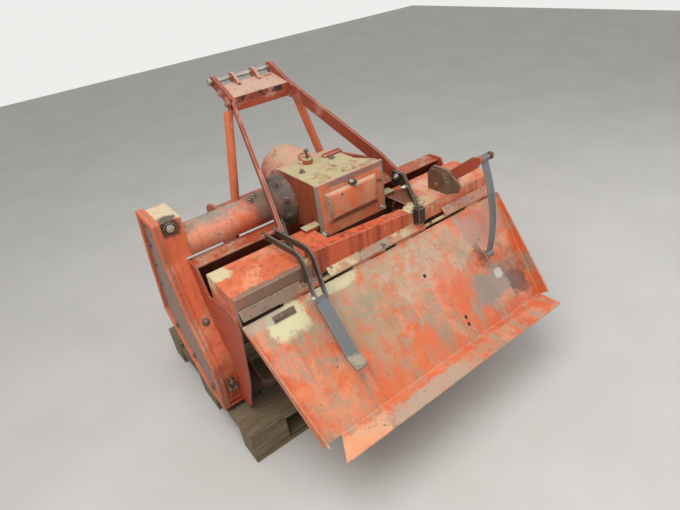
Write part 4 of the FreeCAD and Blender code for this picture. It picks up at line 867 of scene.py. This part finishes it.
# right end: bearing housing bolts and its grease nipple
housing = {"middle": (0.05, 0.372), "ring": 0.050}
housingSeats = []
for step in range(4):
    angle = math.radians(45 + 90 * step)
    y, z = (centre + housing["ring"] * part(angle) for centre, part in zip(housing["middle"], (math.cos, math.sin)))
    housingSeats.append(seat("bearing_housing", (0.8, y, z), (-1, 0, 0)))
placeSet("housingBolts", hexBolt, housingSeats, 0.008, "root", rustyIron)
nipple = seat("bearing_housing", (0.588, 0.05, 0.8), (0, 0, -1))
placeSet("greaseNipple", plainNut, [nipple], 0.006, "root", brightSteel)

# soil beside the beam: place on the hood and reach of each lump
heap = {"lumps": [((0.165, -0.212), 0.030), ((0.205, -0.200), 0.022), ((0.138, -0.222), 0.018),
                  ((-0.300, -0.212), 0.018)], "flat": 0.34}
lumps = []
for (across, along), reach in heap["lumps"]:
    ground = seat("hood_rear", (across, along, 1.2), (0, 0, -1))[0]
    base = Vector((across, along, ground.z))
    bpy.ops.mesh.primitive_ico_sphere_add(subdivisions=4, radius=reach, location=base)
    lump = bpy.context.object
    bpy.ops.object.transform_apply(location=True)
    for vertex in lump.data.vertices:
        offset = vertex.co - base
        offset *= 1.0 + noise.noise(vertex.co * 60) * 0.35 + noise.noise(vertex.co * 170) * 0.18
        offset.z *= heap["flat"]
        vertex.co = base + offset
    lumps.append(lump)
settle(joinAll(lumps, "soilHeaps"), "root", soil, 60.0)

# pallet nails: two over each crossing of a deck board with a cross board, where a board is met
nails = {"along": (-0.555, -0.03, 0.495), "across": (-0.16, -0.02, 0.12, 0.21, 0.30, 0.42, 0.56),
         "pair": (-0.02, 0.025), "sunk": Vector((0, 0, 0.0012))}
nailSeats = []
for along in nails["along"]:
    for across in nails["across"]:
        for shift in nails["pair"]:
            nail = touch("pallet_deck_boards", (along + shift, across + shift, 0.3), (0, 0, -1))
            if nail is not None:
                nailSeats.append((nail[0] - nails["sunk"], nail[1]))
placeSet("palletNails", rivet, nailSeats, 0.0042, "root", rustyIron)

# pale floor
bpy.ops.mesh.primitive_plane_add(size=1.0, location=(0, 0, 0), scale=(1, 1, 1))
floor = bpy.context.object
floor.name = "floor"
bpy.ops.object.mode_set(mode="EDIT")
bpy.ops.mesh.subdivide(number_cuts=3)
bpy.ops.mesh.select_all(action="SELECT")
bpy.ops.transform.resize(value=(16, 16, 1))
bpy.ops.object.mode_set(mode="OBJECT")
material, tree, shader, coordinates = newMaterial("floorGrey")
shade = rampNode(tree, noiseNode(tree, coordinates["Object"], 2.0, 6.0, 0.6), 0.3, 0.7)
tree.links.new(mixNode(tree, shade, tone("CFCDC8"), tone("D6D4D0")), shader.inputs["Base Color"])
shader.inputs["Roughness"].default_value = 0.8
floor.data.materials.append(material)

for source in (hexBolt, studNut, plainNut, rivet, pinRing):
    bpy.data.objects.remove(source, do_unlink=True)
print("fittings made")
